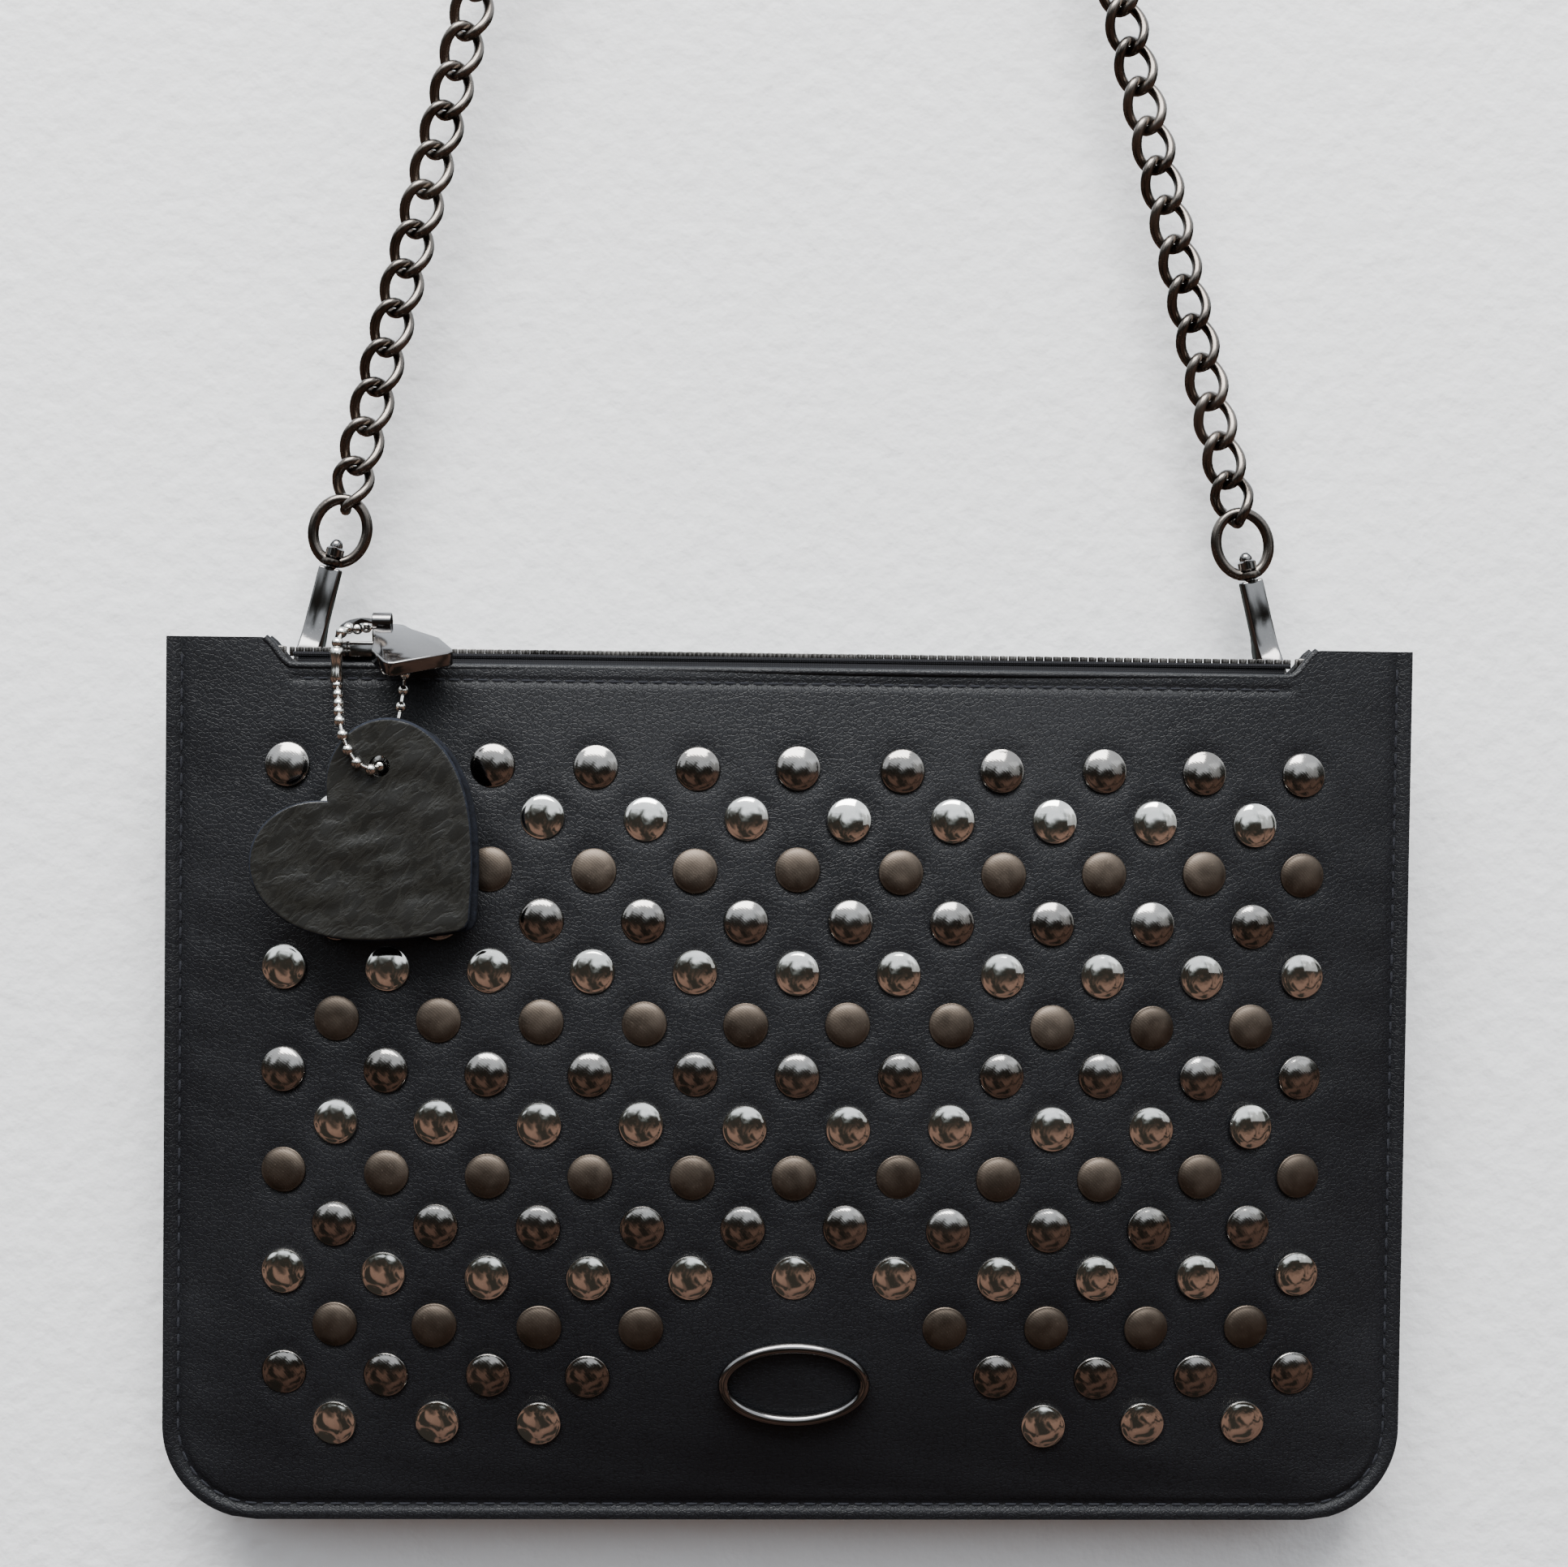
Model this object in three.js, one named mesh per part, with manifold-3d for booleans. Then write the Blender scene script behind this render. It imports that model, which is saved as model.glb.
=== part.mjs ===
// A studded leather zip pouch hanging by its chain strap, in millimetres, +Z up.
// The origin is the top of the round peg that the strap hangs over; the pouch faces -Y.
import * as THREE from 'three';
import { mergeVertices } from 'three/addons/utils/BufferGeometryUtils.js';
import Module from 'manifold-3d';

const wasm = await Module();
wasm.setup();

// ---- Strap ------------------------------------------------------------------------------
const PEG_RADIUS = 20;
const ARM_LEAN = THREE.MathUtils.degToRad(13.7); // each arm of the strap, from the vertical
const LINK_PITCH = 8.25;
const LINK_WIDTH = 8.7;
const LINK_LENGTH = 11.9;
const LINK_WIRE = 1.8;
const LINKS_OVER_PEG = 7;
const LINKS_PER_ARM = 35;
const UPPER_LINKS = 17; // of an arm's links, those above its middle pivot
const CHAIN_HALF_DEPTH = 2.3; // the chain's envelope, front to back
const WAIST = 0.62; // width between two links, as a share of a link's width
const HANG_TILT = THREE.MathUtils.degToRad(1.6); // the pouch's bottom hangs back by this
const PIVOT_GAP = 0.8; // from a pivot to the end of each stretch of chain

// ---- Swivel hooks -----------------------------------------------------------------------
const RING_WIRE = 1.7;
const RING_HALF_WIDTH = 5.4; // to the middle of the wire
const RING_HALF_HEIGHT = 6.55;
const HOOK_THICKNESS = 4.4;
const BOW_BORE_RADIUS = 2.75;
const BOW_RADIUS = 4.7;
const HOOK_LENGTH = 28.55; // from the bow's centre to the ring's bottom wire
const GATE_PIN_HEIGHT = 11.3; // over the bow's centre

// ---- Pouch ------------------------------------------------------------------------------
const WIDTH = 250;
const HEIGHT = 177;
const CORNER_RADIUS = 19;
const FLANGE = 4; // flat margin that the edge seam runs in
const SEAM_HALF = 0.95; // from the middle plane to the leather's inner face at the seam
const LEATHER = 1.3;
const LINING = 0.5;
const GAP = 0.3; // between pieces that lie on each other
const BULGE = 8.75; // how far the middle of a panel stands out from its seam
const BACK_BULGE = 6; // the back lies flat from here on
const MOUTH_BULGE = 0.3; // share of the bulge that is left at the zip
const FULLEST = 0.45; // height of the fullest place, as a share of the panel's height
const MOUTH_HEIGHT = 171.5; // top edge of a panel along the zip
const MOUTH_END = 100; // the zip opening, either way from the middle
const LAND_START = 106; // the closed corners start here

// ---- Zip --------------------------------------------------------------------------------
const TAPE_BOTTOM = 161.5;
const TEETH_TOP = 175.2;
const TEETH_HEIGHT = 1.9;
const TEETH_WIDTH = 1.45; // of one row
const ZIP_HALF_LENGTH = 101.5;
const SLIDER_X = -86;
const SLIDER_LENGTH = 12;
const SLIDER_HALF_WIDTH = 3.6;
const SLIDER_BOTTOM = 173.3; // clear of the tapes
const SLIDER_TOP = 176.4;
const BRIDGE_TOP = 181.3; // middle of the bridge's wire
const PULL_SLOPE = THREE.MathUtils.degToRad(17);
const PULL_TURN = THREE.MathUtils.degToRad(22);

// ---- Studs and emblem -------------------------------------------------------------------
const STUD_DIAMETER = 9;
const STUD_RISE = 2;
const STRIP_RISE = 0.6;
const STRIP_HALF_WIDTH = 0.8;
const STUD_PITCH = 20.3; // along a row
const ROW_PITCH = 10.12;
const TOP_ROW = 152; // height of the first row
const GRID_CENTRE = 1;
const STUD_ROWS = 14;
const EMBLEM_X = 1.3;
const EMBLEM_HEIGHT = 29.6;
const EMBLEM_HALF_WIDTH = 15.2;
const EMBLEM_HALF_HEIGHT = 8.8;
const EMBLEM_WIRE_RADIUS = 1.1;

// ---- Charm ------------------------------------------------------------------------------
const CHARM_HOLE = new THREE.Vector3(-80.8, -15.6, 151.9);
const HEART_LAYER = 1.75;
const HEART_TURN = THREE.MathUtils.degToRad(48); // its tip swings to the right
const HEART_HOLE_X = 11.8;
const HEART_HOLE_HEIGHT = 7.1;
const HEART_HOLE_RADIUS = 2.1;
const CORD_RADIUS = 0.6;

// ---- Finishes ---------------------------------------------------------------------------
const finish = (color, roughness, metalness) =>
  new THREE.MeshStandardMaterial({ color, roughness, metalness });
const finishes = {
  leather: finish(0x1f2024, 0.55, 0),
  lining: finish(0x17181a, 0.9, 0),
  tape: finish(0x101012, 0.85, 0),
  teeth: finish(0x3a3836, 0.35, 1),
  gunmetal: finish(0x4c4a4a, 0.18, 1),
  chain: finish(0x4b4540, 0.28, 1),
  nickel: finish(0xd0ccc4, 0.12, 1),
  brass: finish(0x6b5a48, 0.5, 1),
  spring: finish(0x8c8c8c, 0.4, 1),
  charm: finish(0x33312b, 0.3, 0),
  suede: finish(0x23262e, 0.8, 0),
};

// ---- Solids -----------------------------------------------------------------------------
const bare = (geometry) => {
  geometry.deleteAttribute('normal');
  geometry.deleteAttribute('uv');
  return mergeVertices(geometry, 1e-4);
};

const toManifold = (geometry) => {
  const closed = bare(geometry.clone());
  const vertProperties = new Float32Array(closed.attributes.position.array);
  const triVerts = new Uint32Array(closed.index.array);
  return new wasm.Manifold(new wasm.Mesh({ numProp: 3, vertProperties, triVerts }));
};

const toGeometry = (manifold) => {
  const mesh = manifold.getMesh();
  const geometry = new THREE.BufferGeometry();
  geometry.setAttribute('position', new THREE.BufferAttribute(mesh.vertProperties, 3));
  geometry.setIndex(new THREE.BufferAttribute(mesh.triVerts, 1));
  return geometry;
};

const join = (...geometries) =>
  toGeometry(geometries.map(toManifold).reduce((whole, piece) => whole.add(piece)));

const cut = (geometry, ...tools) =>
  toGeometry(tools.map(toManifold).reduce((whole, tool) => whole.subtract(tool), toManifold(geometry)));

// Moves every vertex of a geometry to where place(x, y, z) says.
const reshape = (geometry, place) => {
  const points = geometry.attributes.position;
  for (let i = 0; i < points.count; i += 1) {
    const p = place(points.getX(i), points.getY(i), points.getZ(i));
    points.setXYZ(i, p.x, p.y, p.z);
  }
  return bare(geometry);
};

// A closed wire loop in the XZ plane: spot(u) gives its middle, outward direction and radius.
const wireLoop = (sides, steps, spot) =>
  reshape(new THREE.TorusGeometry(4, 1, sides, steps), (x, y, z) => {
    const { middle, outward, radius } = spot(Math.atan2(y, x));
    const out = Math.hypot(x, y) - 4;
    return middle.clone()
      .addScaledVector(outward, out * radius)
      .add(new THREE.Vector3(0, -z * radius, 0));
  });

// One place on an upright oval loop.
const ovalSpot = (u, halfWidth, halfHeight, radius) => {
  const outward = new THREE.Vector3(Math.cos(u) / halfWidth, 0, Math.sin(u) / halfHeight);
  const middle = new THREE.Vector3(halfWidth * Math.cos(u), 0, halfHeight * Math.sin(u));
  return { middle, outward: outward.normalize(), radius };
};

// A thin solid over a grid of columns and rows: place(column, row, near) gives its corners, on
// the side nearer -Y and then on the other. Both sides are split along the same diagonals.
const gridSolid = (columns, rows, place) => {
  const points = [];
  for (const near of [true, false]) {
    for (let row = 0; row <= rows; row += 1) {
      for (let column = 0; column <= columns; column += 1) {
        points.push(...place(column, row, near).toArray());
      }
    }
  }
  const at = (column, row, far) => column + (columns + 1) * (row + (rows + 1) * far);
  const faces = [];
  const quad = (a, b, c, d) => faces.push(a, b, c, a, c, d);
  for (let i = 0; i < columns; i += 1) {
    for (let k = 0; k < rows; k += 1) {
      quad(at(i, k, 0), at(i + 1, k, 0), at(i + 1, k + 1, 0), at(i, k + 1, 0));
      quad(at(i + 1, k + 1, 1), at(i + 1, k, 1), at(i, k, 1), at(i, k + 1, 1));
    }
    quad(at(i, 0, 0), at(i, 0, 1), at(i + 1, 0, 1), at(i + 1, 0, 0));
    quad(at(i, rows, 0), at(i + 1, rows, 0), at(i + 1, rows, 1), at(i, rows, 1));
  }
  for (let k = 0; k < rows; k += 1) {
    quad(at(0, k, 0), at(0, k + 1, 0), at(0, k + 1, 1), at(0, k, 1));
    quad(at(columns, k, 0), at(columns, k, 1), at(columns, k + 1, 1), at(columns, k + 1, 0));
  }
  const geometry = new THREE.BufferGeometry();
  geometry.setAttribute('position', new THREE.Float32BufferAttribute(points, 3));
  geometry.setIndex(faces);
  return geometry;
};

const box = (low, high) => {
  const size = high.map((value, i) => value - low[i]);
  const middle = high.map((value, i) => (value + low[i]) / 2);
  return new THREE.BoxGeometry(...size).translate(...middle);
};

// A shape drawn in Y and Z, as thick in X as given, centred on X = 0.
const plateAlongX = (shape, thickness, curveSegments = 4) => {
  const options = { depth: thickness, bevelEnabled: false, curveSegments };
  return new THREE.ExtrudeGeometry(shape, options)
    .translate(0, 0, -thickness / 2)
    .applyMatrix4(new THREE.Matrix4().set(0, 0, 1, 0, 1, 0, 0, 0, 0, 1, 0, 0, 0, 0, 0, 1));
};

// A turned solid about Z from pairs of radius and height.
const turned = (pairs, segments) =>
  new THREE.LatheGeometry(pairs.map(([r, z]) => new THREE.Vector2(r, z)), segments)
    .rotateX(Math.PI / 2);

// A round cord through a list of points.
const cord = (points, radius, steps) => {
  const section = new THREE.Shape();
  section.absarc(0, 0, radius, 0, Math.PI * 2);
  const path = new THREE.CatmullRomCurve3(points);
  const options = { extrudePath: path, steps, curveSegments: 3, bevelEnabled: false };
  return new THREE.ExtrudeGeometry(section, options);
};

const node = (name, geometry, material, group) => {
  const mesh = new THREE.Mesh(geometry, material);
  mesh.name = name;
  group.add(mesh);
  return mesh;
};

// ---- The strap's path -------------------------------------------------------------------
const ARC_RADIUS = PEG_RADIUS + LINK_WIDTH / 2;
const ARC_HALF_ANGLE = Math.PI / 2 - ARM_LEAN;
const ARC_HALF_LENGTH = ARC_RADIUS * ARC_HALF_ANGLE;
const LINK_HALF = (LINK_LENGTH - LINK_WIRE) / 2; // to the middle of an end's wire
const LINK_TOTAL = LINKS_OVER_PEG + 2 * LINKS_PER_ARM;

// Where a length along the strap lies, and its direction, from its highest point.
const alongStrap = (length) => {
  const bent = THREE.MathUtils.clamp(length, -ARC_HALF_LENGTH, ARC_HALF_LENGTH);
  const angle = bent / ARC_RADIUS;
  const straight = length - bent;
  const x = ARC_RADIUS * Math.sin(angle) + straight * Math.cos(angle);
  const z = ARC_RADIUS * Math.cos(angle) - PEG_RADIUS - straight * Math.sin(angle);
  return { position: new THREE.Vector3(x, 0, z), turn: angle + Math.PI / 2 };
};

const LAST_LINK = ((LINK_TOTAL - 1) / 2) * LINK_PITCH;
const RING_REACH = LINK_HALF - LINK_WIRE - 2 * GAP - RING_WIRE / 2; // a last link's solid length
const RING_MIDDLE = LAST_LINK + LINK_HALF - LINK_WIRE - GAP + RING_HALF_HEIGHT;
const BOW_MIDDLE = RING_MIDDLE + RING_HALF_HEIGHT + HOOK_LENGTH;

const linkLength = (index) => (index - (LINK_TOTAL - 1) / 2) * LINK_PITCH;

// The envelope of a run of links, wide at each link's middle and waisted between two links.
const chainSegment = (first, last) => {
  const steps = 2 * (last - first + 1);
  const startsAtRing = first === 0;
  const endsAtRing = last === LINK_TOTAL - 1;
  const from = linkLength(first) - (startsAtRing ? RING_REACH : LINK_PITCH / 2 - PIVOT_GAP);
  const to = linkLength(last) + (endsAtRing ? RING_REACH : LINK_PITCH / 2 - PIVOT_GAP);
  const solid = new THREE.CylinderGeometry(1, 1, 1, 4, steps);
  return reshape(solid, (x, y, z) => {
    const step = Math.round((y + 0.5) * steps);
    const length = step === 0 ? from : step === steps ? to : linkLength(first + (step - 1) / 2);
    const { position, turn } = alongStrap(length);
    const end = step === 0 || step === steps;
    const half = (LINK_WIDTH / 2) * (end ? 0.35 : step % 2 === 0 ? WAIST : 1);
    const normal = new THREE.Vector3(-Math.cos(turn), 0, Math.sin(turn));
    return position
      .addScaledVector(normal, x * half)
      .add(new THREE.Vector3(0, z * CHAIN_HALF_DEPTH * (end ? 0.45 : 1), 0));
  });
};

const addStrap = (group) => {
  const last = LINK_TOTAL - 1;
  const lower = LINKS_PER_ARM - UPPER_LINKS;
  const segments = [
    ['chain_left_lower', 0, lower - 1],
    ['chain_left_upper', lower, LINKS_PER_ARM - 1],
    ['chain_top', LINKS_PER_ARM, LINKS_PER_ARM + LINKS_OVER_PEG - 1],
    ['chain_right_upper', last - LINKS_PER_ARM + 1, last - lower],
    ['chain_right_lower', last - lower + 1, last],
  ];
  for (const [name, first, end] of segments) {
    node(name, chainSegment(first, end), finishes.chain, group);
  }
};

// ---- Hooks ------------------------------------------------------------------------------
// Each is made about its bow's centre, with Z along the strap's arm, and leans with the arm.
const swivelRing = () => {
  const loop = wireLoop(5, 12, (u) => ovalSpot(u, RING_HALF_WIDTH, RING_HALF_HEIGHT, RING_WIRE / 2))
    .translate(0, 0, HOOK_LENGTH + RING_HALF_HEIGHT);
  const half = 0.85;
  const boss = turned([[0, -half], [2.9, -half], [2.9, half], [0, half]], 10).translate(0, 0, HOOK_LENGTH);
  const bore = turned([[0, -5], [1.3, -5], [1.3, 1.15], [2.2, 1.15], [2.2, 6], [0, 6]], 8)
    .translate(0, 0, HOOK_LENGTH);
  return cut(join(loop, boss), bore);
};

const hookOutline = () => {
  const shape = new THREE.Shape();
  const top = HOOK_LENGTH - 1.15;
  shape.moveTo(-2.3, top);
  shape.lineTo(-2.4, 14);
  shape.lineTo(-BOW_RADIUS, 9.5);
  shape.lineTo(-BOW_RADIUS, 0);
  shape.absarc(0, 0, BOW_RADIUS, Math.PI, 2 * Math.PI, false);
  shape.lineTo(BOW_RADIUS, 2.4);
  shape.lineTo(BOW_BORE_RADIUS, 2.4);
  shape.lineTo(BOW_BORE_RADIUS, 0);
  shape.absarc(0, 0, BOW_BORE_RADIUS, 0, -Math.PI, true);
  shape.lineTo(-BOW_BORE_RADIUS, 8);
  shape.lineTo(0.9, 10);
  shape.lineTo(BOW_RADIUS, 10);
  shape.lineTo(BOW_RADIUS, 13);
  shape.lineTo(2.4, 15.5);
  shape.lineTo(2.3, top);
  return shape;
};

const hookBody = () => {
  const body = plateAlongX(hookOutline(), HOOK_THICKNESS, 5);
  const rivet = turned([
    [0, -2], [0.95, -2], [0.95, 1.15], [1.85, 1.15], [1.85, 3.4], [1.2, 4.5], [0, 4.8],
  ], 8).translate(0, 0, HOOK_LENGTH);
  const slot = box([-1.4, 1.3, 9], [1.4, 6, 13.6]);
  const bore = new THREE.CylinderGeometry(0.75, 0.75, 9, 6).rotateZ(Math.PI / 2)
    .translate(0, 3.4, GATE_PIN_HEIGHT);
  return cut(join(body, rivet), slot, bore);
};

const gateOutline = () => {
  const shape = new THREE.Shape();
  shape.moveTo(2.75, 2.75);
  shape.lineTo(4.3, 2.75);
  shape.lineTo(4.7, 8);
  shape.lineTo(4.6, 12.4);
  shape.lineTo(3.4, 12.7);
  shape.lineTo(2.3, 11.8);
  shape.lineTo(2.75, 9);
  const bore = new THREE.Path();
  bore.absarc(3.4, GATE_PIN_HEIGHT, 0.75, 0, Math.PI * 2, true);
  shape.holes.push(bore);
  return shape;
};

const addHook = (side, name, group) => {
  const hook = new THREE.Group();
  const { position } = alongStrap(side * BOW_MIDDLE);
  hook.position.copy(position);
  hook.rotation.y = -side * ARM_LEAN;
  group.add(hook);
  node(`swivel_ring_${name}`, swivelRing(), finishes.chain, hook);
  node(`hook_body_${name}`, hookBody(), finishes.gunmetal, hook);
  node(`hook_gate_${name}`, plateAlongX(gateOutline(), 2.2, 3), finishes.gunmetal, hook);
  const pin = new THREE.CylinderGeometry(0.42, 0.42, HOOK_THICKNESS, 8).rotateZ(Math.PI / 2);
  node(`gate_pin_${name}`, pin.translate(0, 3.4, GATE_PIN_HEIGHT), finishes.gunmetal, hook);
  const spring = new THREE.CylinderGeometry(0.4, 0.4, 0.6, 8).translate(0, 1.9, 10.9);
  node(`gate_spring_${name}`, spring, finishes.spring, hook);
};

// ---- Pouch panels -----------------------------------------------------------------------
const BOW_PLACE = alongStrap(BOW_MIDDLE).position;

const bulgeAt = (x, height) => {
  const across = Math.abs(x) / (WIDTH / 2 - FLANGE);
  const up = THREE.MathUtils.clamp((height - FLANGE) / (HEIGHT - FLANGE), 0, 1);
  const below = 1 - Math.max(0, (FULLEST - up) / FULLEST) ** 2.4;
  const above = (1 - MOUTH_BULGE) * Math.max(0, (up - FULLEST) / (1 - FULLEST)) ** 2;
  return BULGE * Math.max(0, 1 - across ** 3) * (below - above);
};

// How far a panel's outer face stands from the middle plane.
const faceDepth = (x, height, front) => {
  const bulge = bulgeAt(x, height);
  return SEAM_HALF + LEATHER + (front ? bulge : Math.min(bulge, BACK_BULGE));
};

const COLUMNS = [-125, -119, -LAND_START, -MOUTH_END, -66, -33, 0, 33, 66, MOUTH_END, LAND_START, 119, 125];
const CORNER_ROWS = 3;
const OPEN_ROWS = 6;
const SHARED_TOP = 157;

const halfWidthAt = (height) => {
  const down = Math.max(0, CORNER_RADIUS - height);
  return WIDTH / 2 - CORNER_RADIUS + Math.sqrt(CORNER_RADIUS ** 2 - down ** 2);
};

// Rows are shared by all layers up to SHARED_TOP, so that the layers stay parallel.
const rowHeight = (row, top) => {
  if (row <= CORNER_ROWS) return CORNER_RADIUS * (1 - Math.cos((row / CORNER_ROWS) * (Math.PI / 2)));
  if (row === CORNER_ROWS + OPEN_ROWS) return top;
  return CORNER_RADIUS + ((row - CORNER_ROWS) / (OPEN_ROWS - 1)) * (SHARED_TOP - CORNER_RADIUS);
};

// One layer of the pouch: inset is from the leather's outer face, topAt(x) is its top edge.
const pouchLayer = (front, inset, thickness, topAt) => {
  const sign = front ? -1 : 1;
  return gridSolid(COLUMNS.length - 1, CORNER_ROWS + OPEN_ROWS, (column, row, nearFace) => {
    const straight = COLUMNS[column];
    const height = rowHeight(row, topAt(straight));
    const x = straight * (halfWidthAt(height) / (WIDTH / 2));
    const outer = nearFace === front;
    const depth = faceDepth(x, height, front) - inset - (outer ? 0 : thickness);
    return new THREE.Vector3(x, sign * depth, height);
  });
};

const leatherTop = (x) => (Math.abs(x) >= LAND_START ? HEIGHT : MOUTH_HEIGHT);
const liningTop = (x) => (Math.abs(x) >= LAND_START ? HEIGHT - 1 : TAPE_BOTTOM - 1);

const addPanels = (pouch) => {
  for (const front of [true, false]) {
    const name = front ? 'front' : 'back';
    node(`${name}_panel`, pouchLayer(front, 0, LEATHER, leatherTop), finishes.leather, pouch);
    const lining = pouchLayer(front, LEATHER + GAP, LINING, liningTop);
    node(`${name}_lining`, lining, finishes.lining, pouch);
  }
};

// ---- Zip --------------------------------------------------------------------------------
const zipTape = (front) => {
  const sign = front ? -1 : 1;
  const columns = 6;
  const thickness = 0.5;
  return gridSolid(columns, 2, (column, row, nearFace) => {
    const x = ((2 * column) / columns - 1) * (MOUTH_END - 1);
    const height = [TAPE_BOTTOM, MOUTH_HEIGHT, TEETH_TOP - TEETH_HEIGHT - GAP][row];
    const inside = faceDepth(x, height, front) - LEATHER - GAP;
    const outer = row < 2 ? inside : GAP / 2 + TEETH_WIDTH;
    const depth = outer - (nearFace === front ? 0 : thickness);
    return new THREE.Vector3(x, sign * depth, height);
  });
};

const addZip = (pouch) => {
  const teethBottom = TEETH_TOP - TEETH_HEIGHT;
  for (const front of [true, false]) {
    const name = front ? 'front' : 'back';
    const far = GAP / 2 + TEETH_WIDTH;
    const near = GAP / 2;
    node(`zip_tape_${name}`, zipTape(front), finishes.tape, pouch);
    const teeth = box(
      [-ZIP_HALF_LENGTH, front ? -far : near, teethBottom],
      [ZIP_HALF_LENGTH, front ? -near : far, TEETH_TOP],
    );
    node(`zip_teeth_${name}`, teeth, finishes.teeth, pouch);
  }
  for (const side of [-1, 1]) {
    const inner = side * (ZIP_HALF_LENGTH + GAP);
    const outer = side * (ZIP_HALF_LENGTH + 2);
    const low = [Math.min(inner, outer), -1.7, teethBottom];
    const stop = box(low, [Math.max(inner, outer), 1.7, TEETH_TOP + 0.2]);
    node(side < 0 ? 'zip_stop_left' : 'zip_stop_right', stop, finishes.teeth, pouch);
  }
};

const sliderBody = () => {
  const half = SLIDER_LENGTH / 2;
  const shell = box([-half, -SLIDER_HALF_WIDTH, SLIDER_BOTTOM], [half, SLIDER_HALF_WIDTH, SLIDER_TOP]);
  const channel = box([-half - 1, -2.6, 170], [half + 1, 2.6, TEETH_TOP + GAP]);
  const bridgePath = [];
  for (let i = 0; i <= 6; i += 1) {
    const angle = Math.PI * (1 - i / 6);
    bridgePath.push(new THREE.Vector3(
      5.2 * Math.cos(angle), 0, SLIDER_TOP - 0.4 + (BRIDGE_TOP - SLIDER_TOP + 0.4) * Math.sin(angle),
    ));
  }
  return join(cut(shell, channel), cord(bridgePath, 0.7, 8));
};

// A flared plate with an eye round the bridge. It is drawn about the eye's middle.
const pullTab = () => {
  const sideOutline = [[1.8, -2.5], [3.4, -3.6], [3.9, -6], [7.2, -12], [7.2, -19], [6, -20.5]];
  const corners = [
    ...sideOutline.map(([x, y]) => new THREE.Vector2(-x, y)),
    ...sideOutline.toReversed().map(([x, y]) => new THREE.Vector2(x, y)),
  ];
  const plate = new THREE.ExtrudeGeometry(new THREE.Shape(corners), { depth: 2.4, bevelEnabled: false })
    .translate(0, 0, -2.7)
    .rotateZ(PULL_TURN)
    .rotateX(PULL_SLOPE);
  const eye = new THREE.Shape();
  eye.absarc(0, 0, 2.8, 0, Math.PI * 2);
  const bore = new THREE.Path();
  bore.absarc(0, 0, 1.35, 0, Math.PI * 2, true);
  eye.holes.push(bore);
  const clear = new THREE.CylinderGeometry(1.35, 1.35, 20, 10).rotateZ(Math.PI / 2);
  return join(cut(plate, clear), plateAlongX(eye, 1.6, 4));
};

const addSlider = (pouch) => {
  node('slider_body', sliderBody().translate(SLIDER_X, 0, 0), finishes.gunmetal, pouch);
  node('pull_tab', pullTab().translate(SLIDER_X + 1, 0, BRIDGE_TOP - 0.1), finishes.gunmetal, pouch);
};

// ---- Studs and emblem -------------------------------------------------------------------
const studsInRow = (row) => {
  const even = row % 2 === 0;
  const reach = even ? 4.5 : 5;
  const columns = [];
  for (let i = -reach; i <= reach; i += 1) columns.push(i * STUD_PITCH);
  const open = row === 14 ? 31 : row >= 12 ? 21 : -1; // the emblem's field
  return columns.filter((x) => Math.abs(x) > open).map((x) => x + GRID_CENTRE);
};

const onFront = (x, height, stand) => {
  const step = 0.5;
  const depth = faceDepth(x, height, true);
  const acrossSlope = (faceDepth(x + step, height, true) - depth) / step;
  const upSlope = (faceDepth(x, height + step, true) - depth) / step;
  const normal = new THREE.Vector3(-acrossSlope, -1, -upSlope).normalize();
  const position = new THREE.Vector3(x, -depth, height).addScaledVector(normal, stand);
  return { position, normal };
};

// The caps of one row, joined by the thin strip that stands for their prongs behind the leather.
// Each cap has four columns: its two tips and the two edges of its raised middle.
const studRun = (studs, height) => {
  const half = STUD_DIAMETER / 2;
  const columns = studs.flatMap((x) => [x - half, x - half * 0.6, x + half * 0.6, x + half]);
  return gridSolid(columns.length - 1, 1, (column, row, near) => {
    const raised = column % 4 === 1 || column % 4 === 2;
    const reach = raised ? half * 0.9 : STRIP_HALF_WIDTH;
    const level = height + (row === 0 ? -reach : reach);
    const rise = raised ? STUD_RISE : STRIP_RISE;
    return onFront(columns[column], level, near ? GAP + rise : GAP).position;
  });
};

const addStuds = (pouch) => {
  const rowFinishes = [finishes.gunmetal, finishes.nickel, finishes.brass];
  for (let row = 1; row <= STUD_ROWS; row += 1) {
    const height = TOP_ROW - ROW_PITCH * (row - 1);
    const name = `studs_row_${String(row).padStart(2, '0')}`;
    const columns = studsInRow(row);
    const material = rowFinishes[(row - 1) % 3];
    const left = columns.filter((x) => x < GRID_CENTRE);
    const split = left.length * 2 === columns.length && row >= 12;
    if (split) {
      node(`${name}_left`, studRun(left, height), material, pouch);
      node(`${name}_right`, studRun(columns.slice(left.length), height), material, pouch);
    } else {
      node(name, studRun(columns, height), material, pouch);
    }
  }
};

const addEmblem = (pouch) => {
  const frame = wireLoop(5, 20, (u) =>
    ovalSpot(u, EMBLEM_HALF_WIDTH, EMBLEM_HALF_HEIGHT, EMBLEM_WIRE_RADIUS));
  const { position, normal } = onFront(EMBLEM_X, EMBLEM_HEIGHT, EMBLEM_WIRE_RADIUS + 2 * GAP);
  const turn = new THREE.Quaternion().setFromUnitVectors(new THREE.Vector3(0, -1, 0), normal);
  frame.applyQuaternion(turn).translate(position.x, position.y, position.z);
  node('emblem', frame, finishes.gunmetal, pouch);
};

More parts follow.
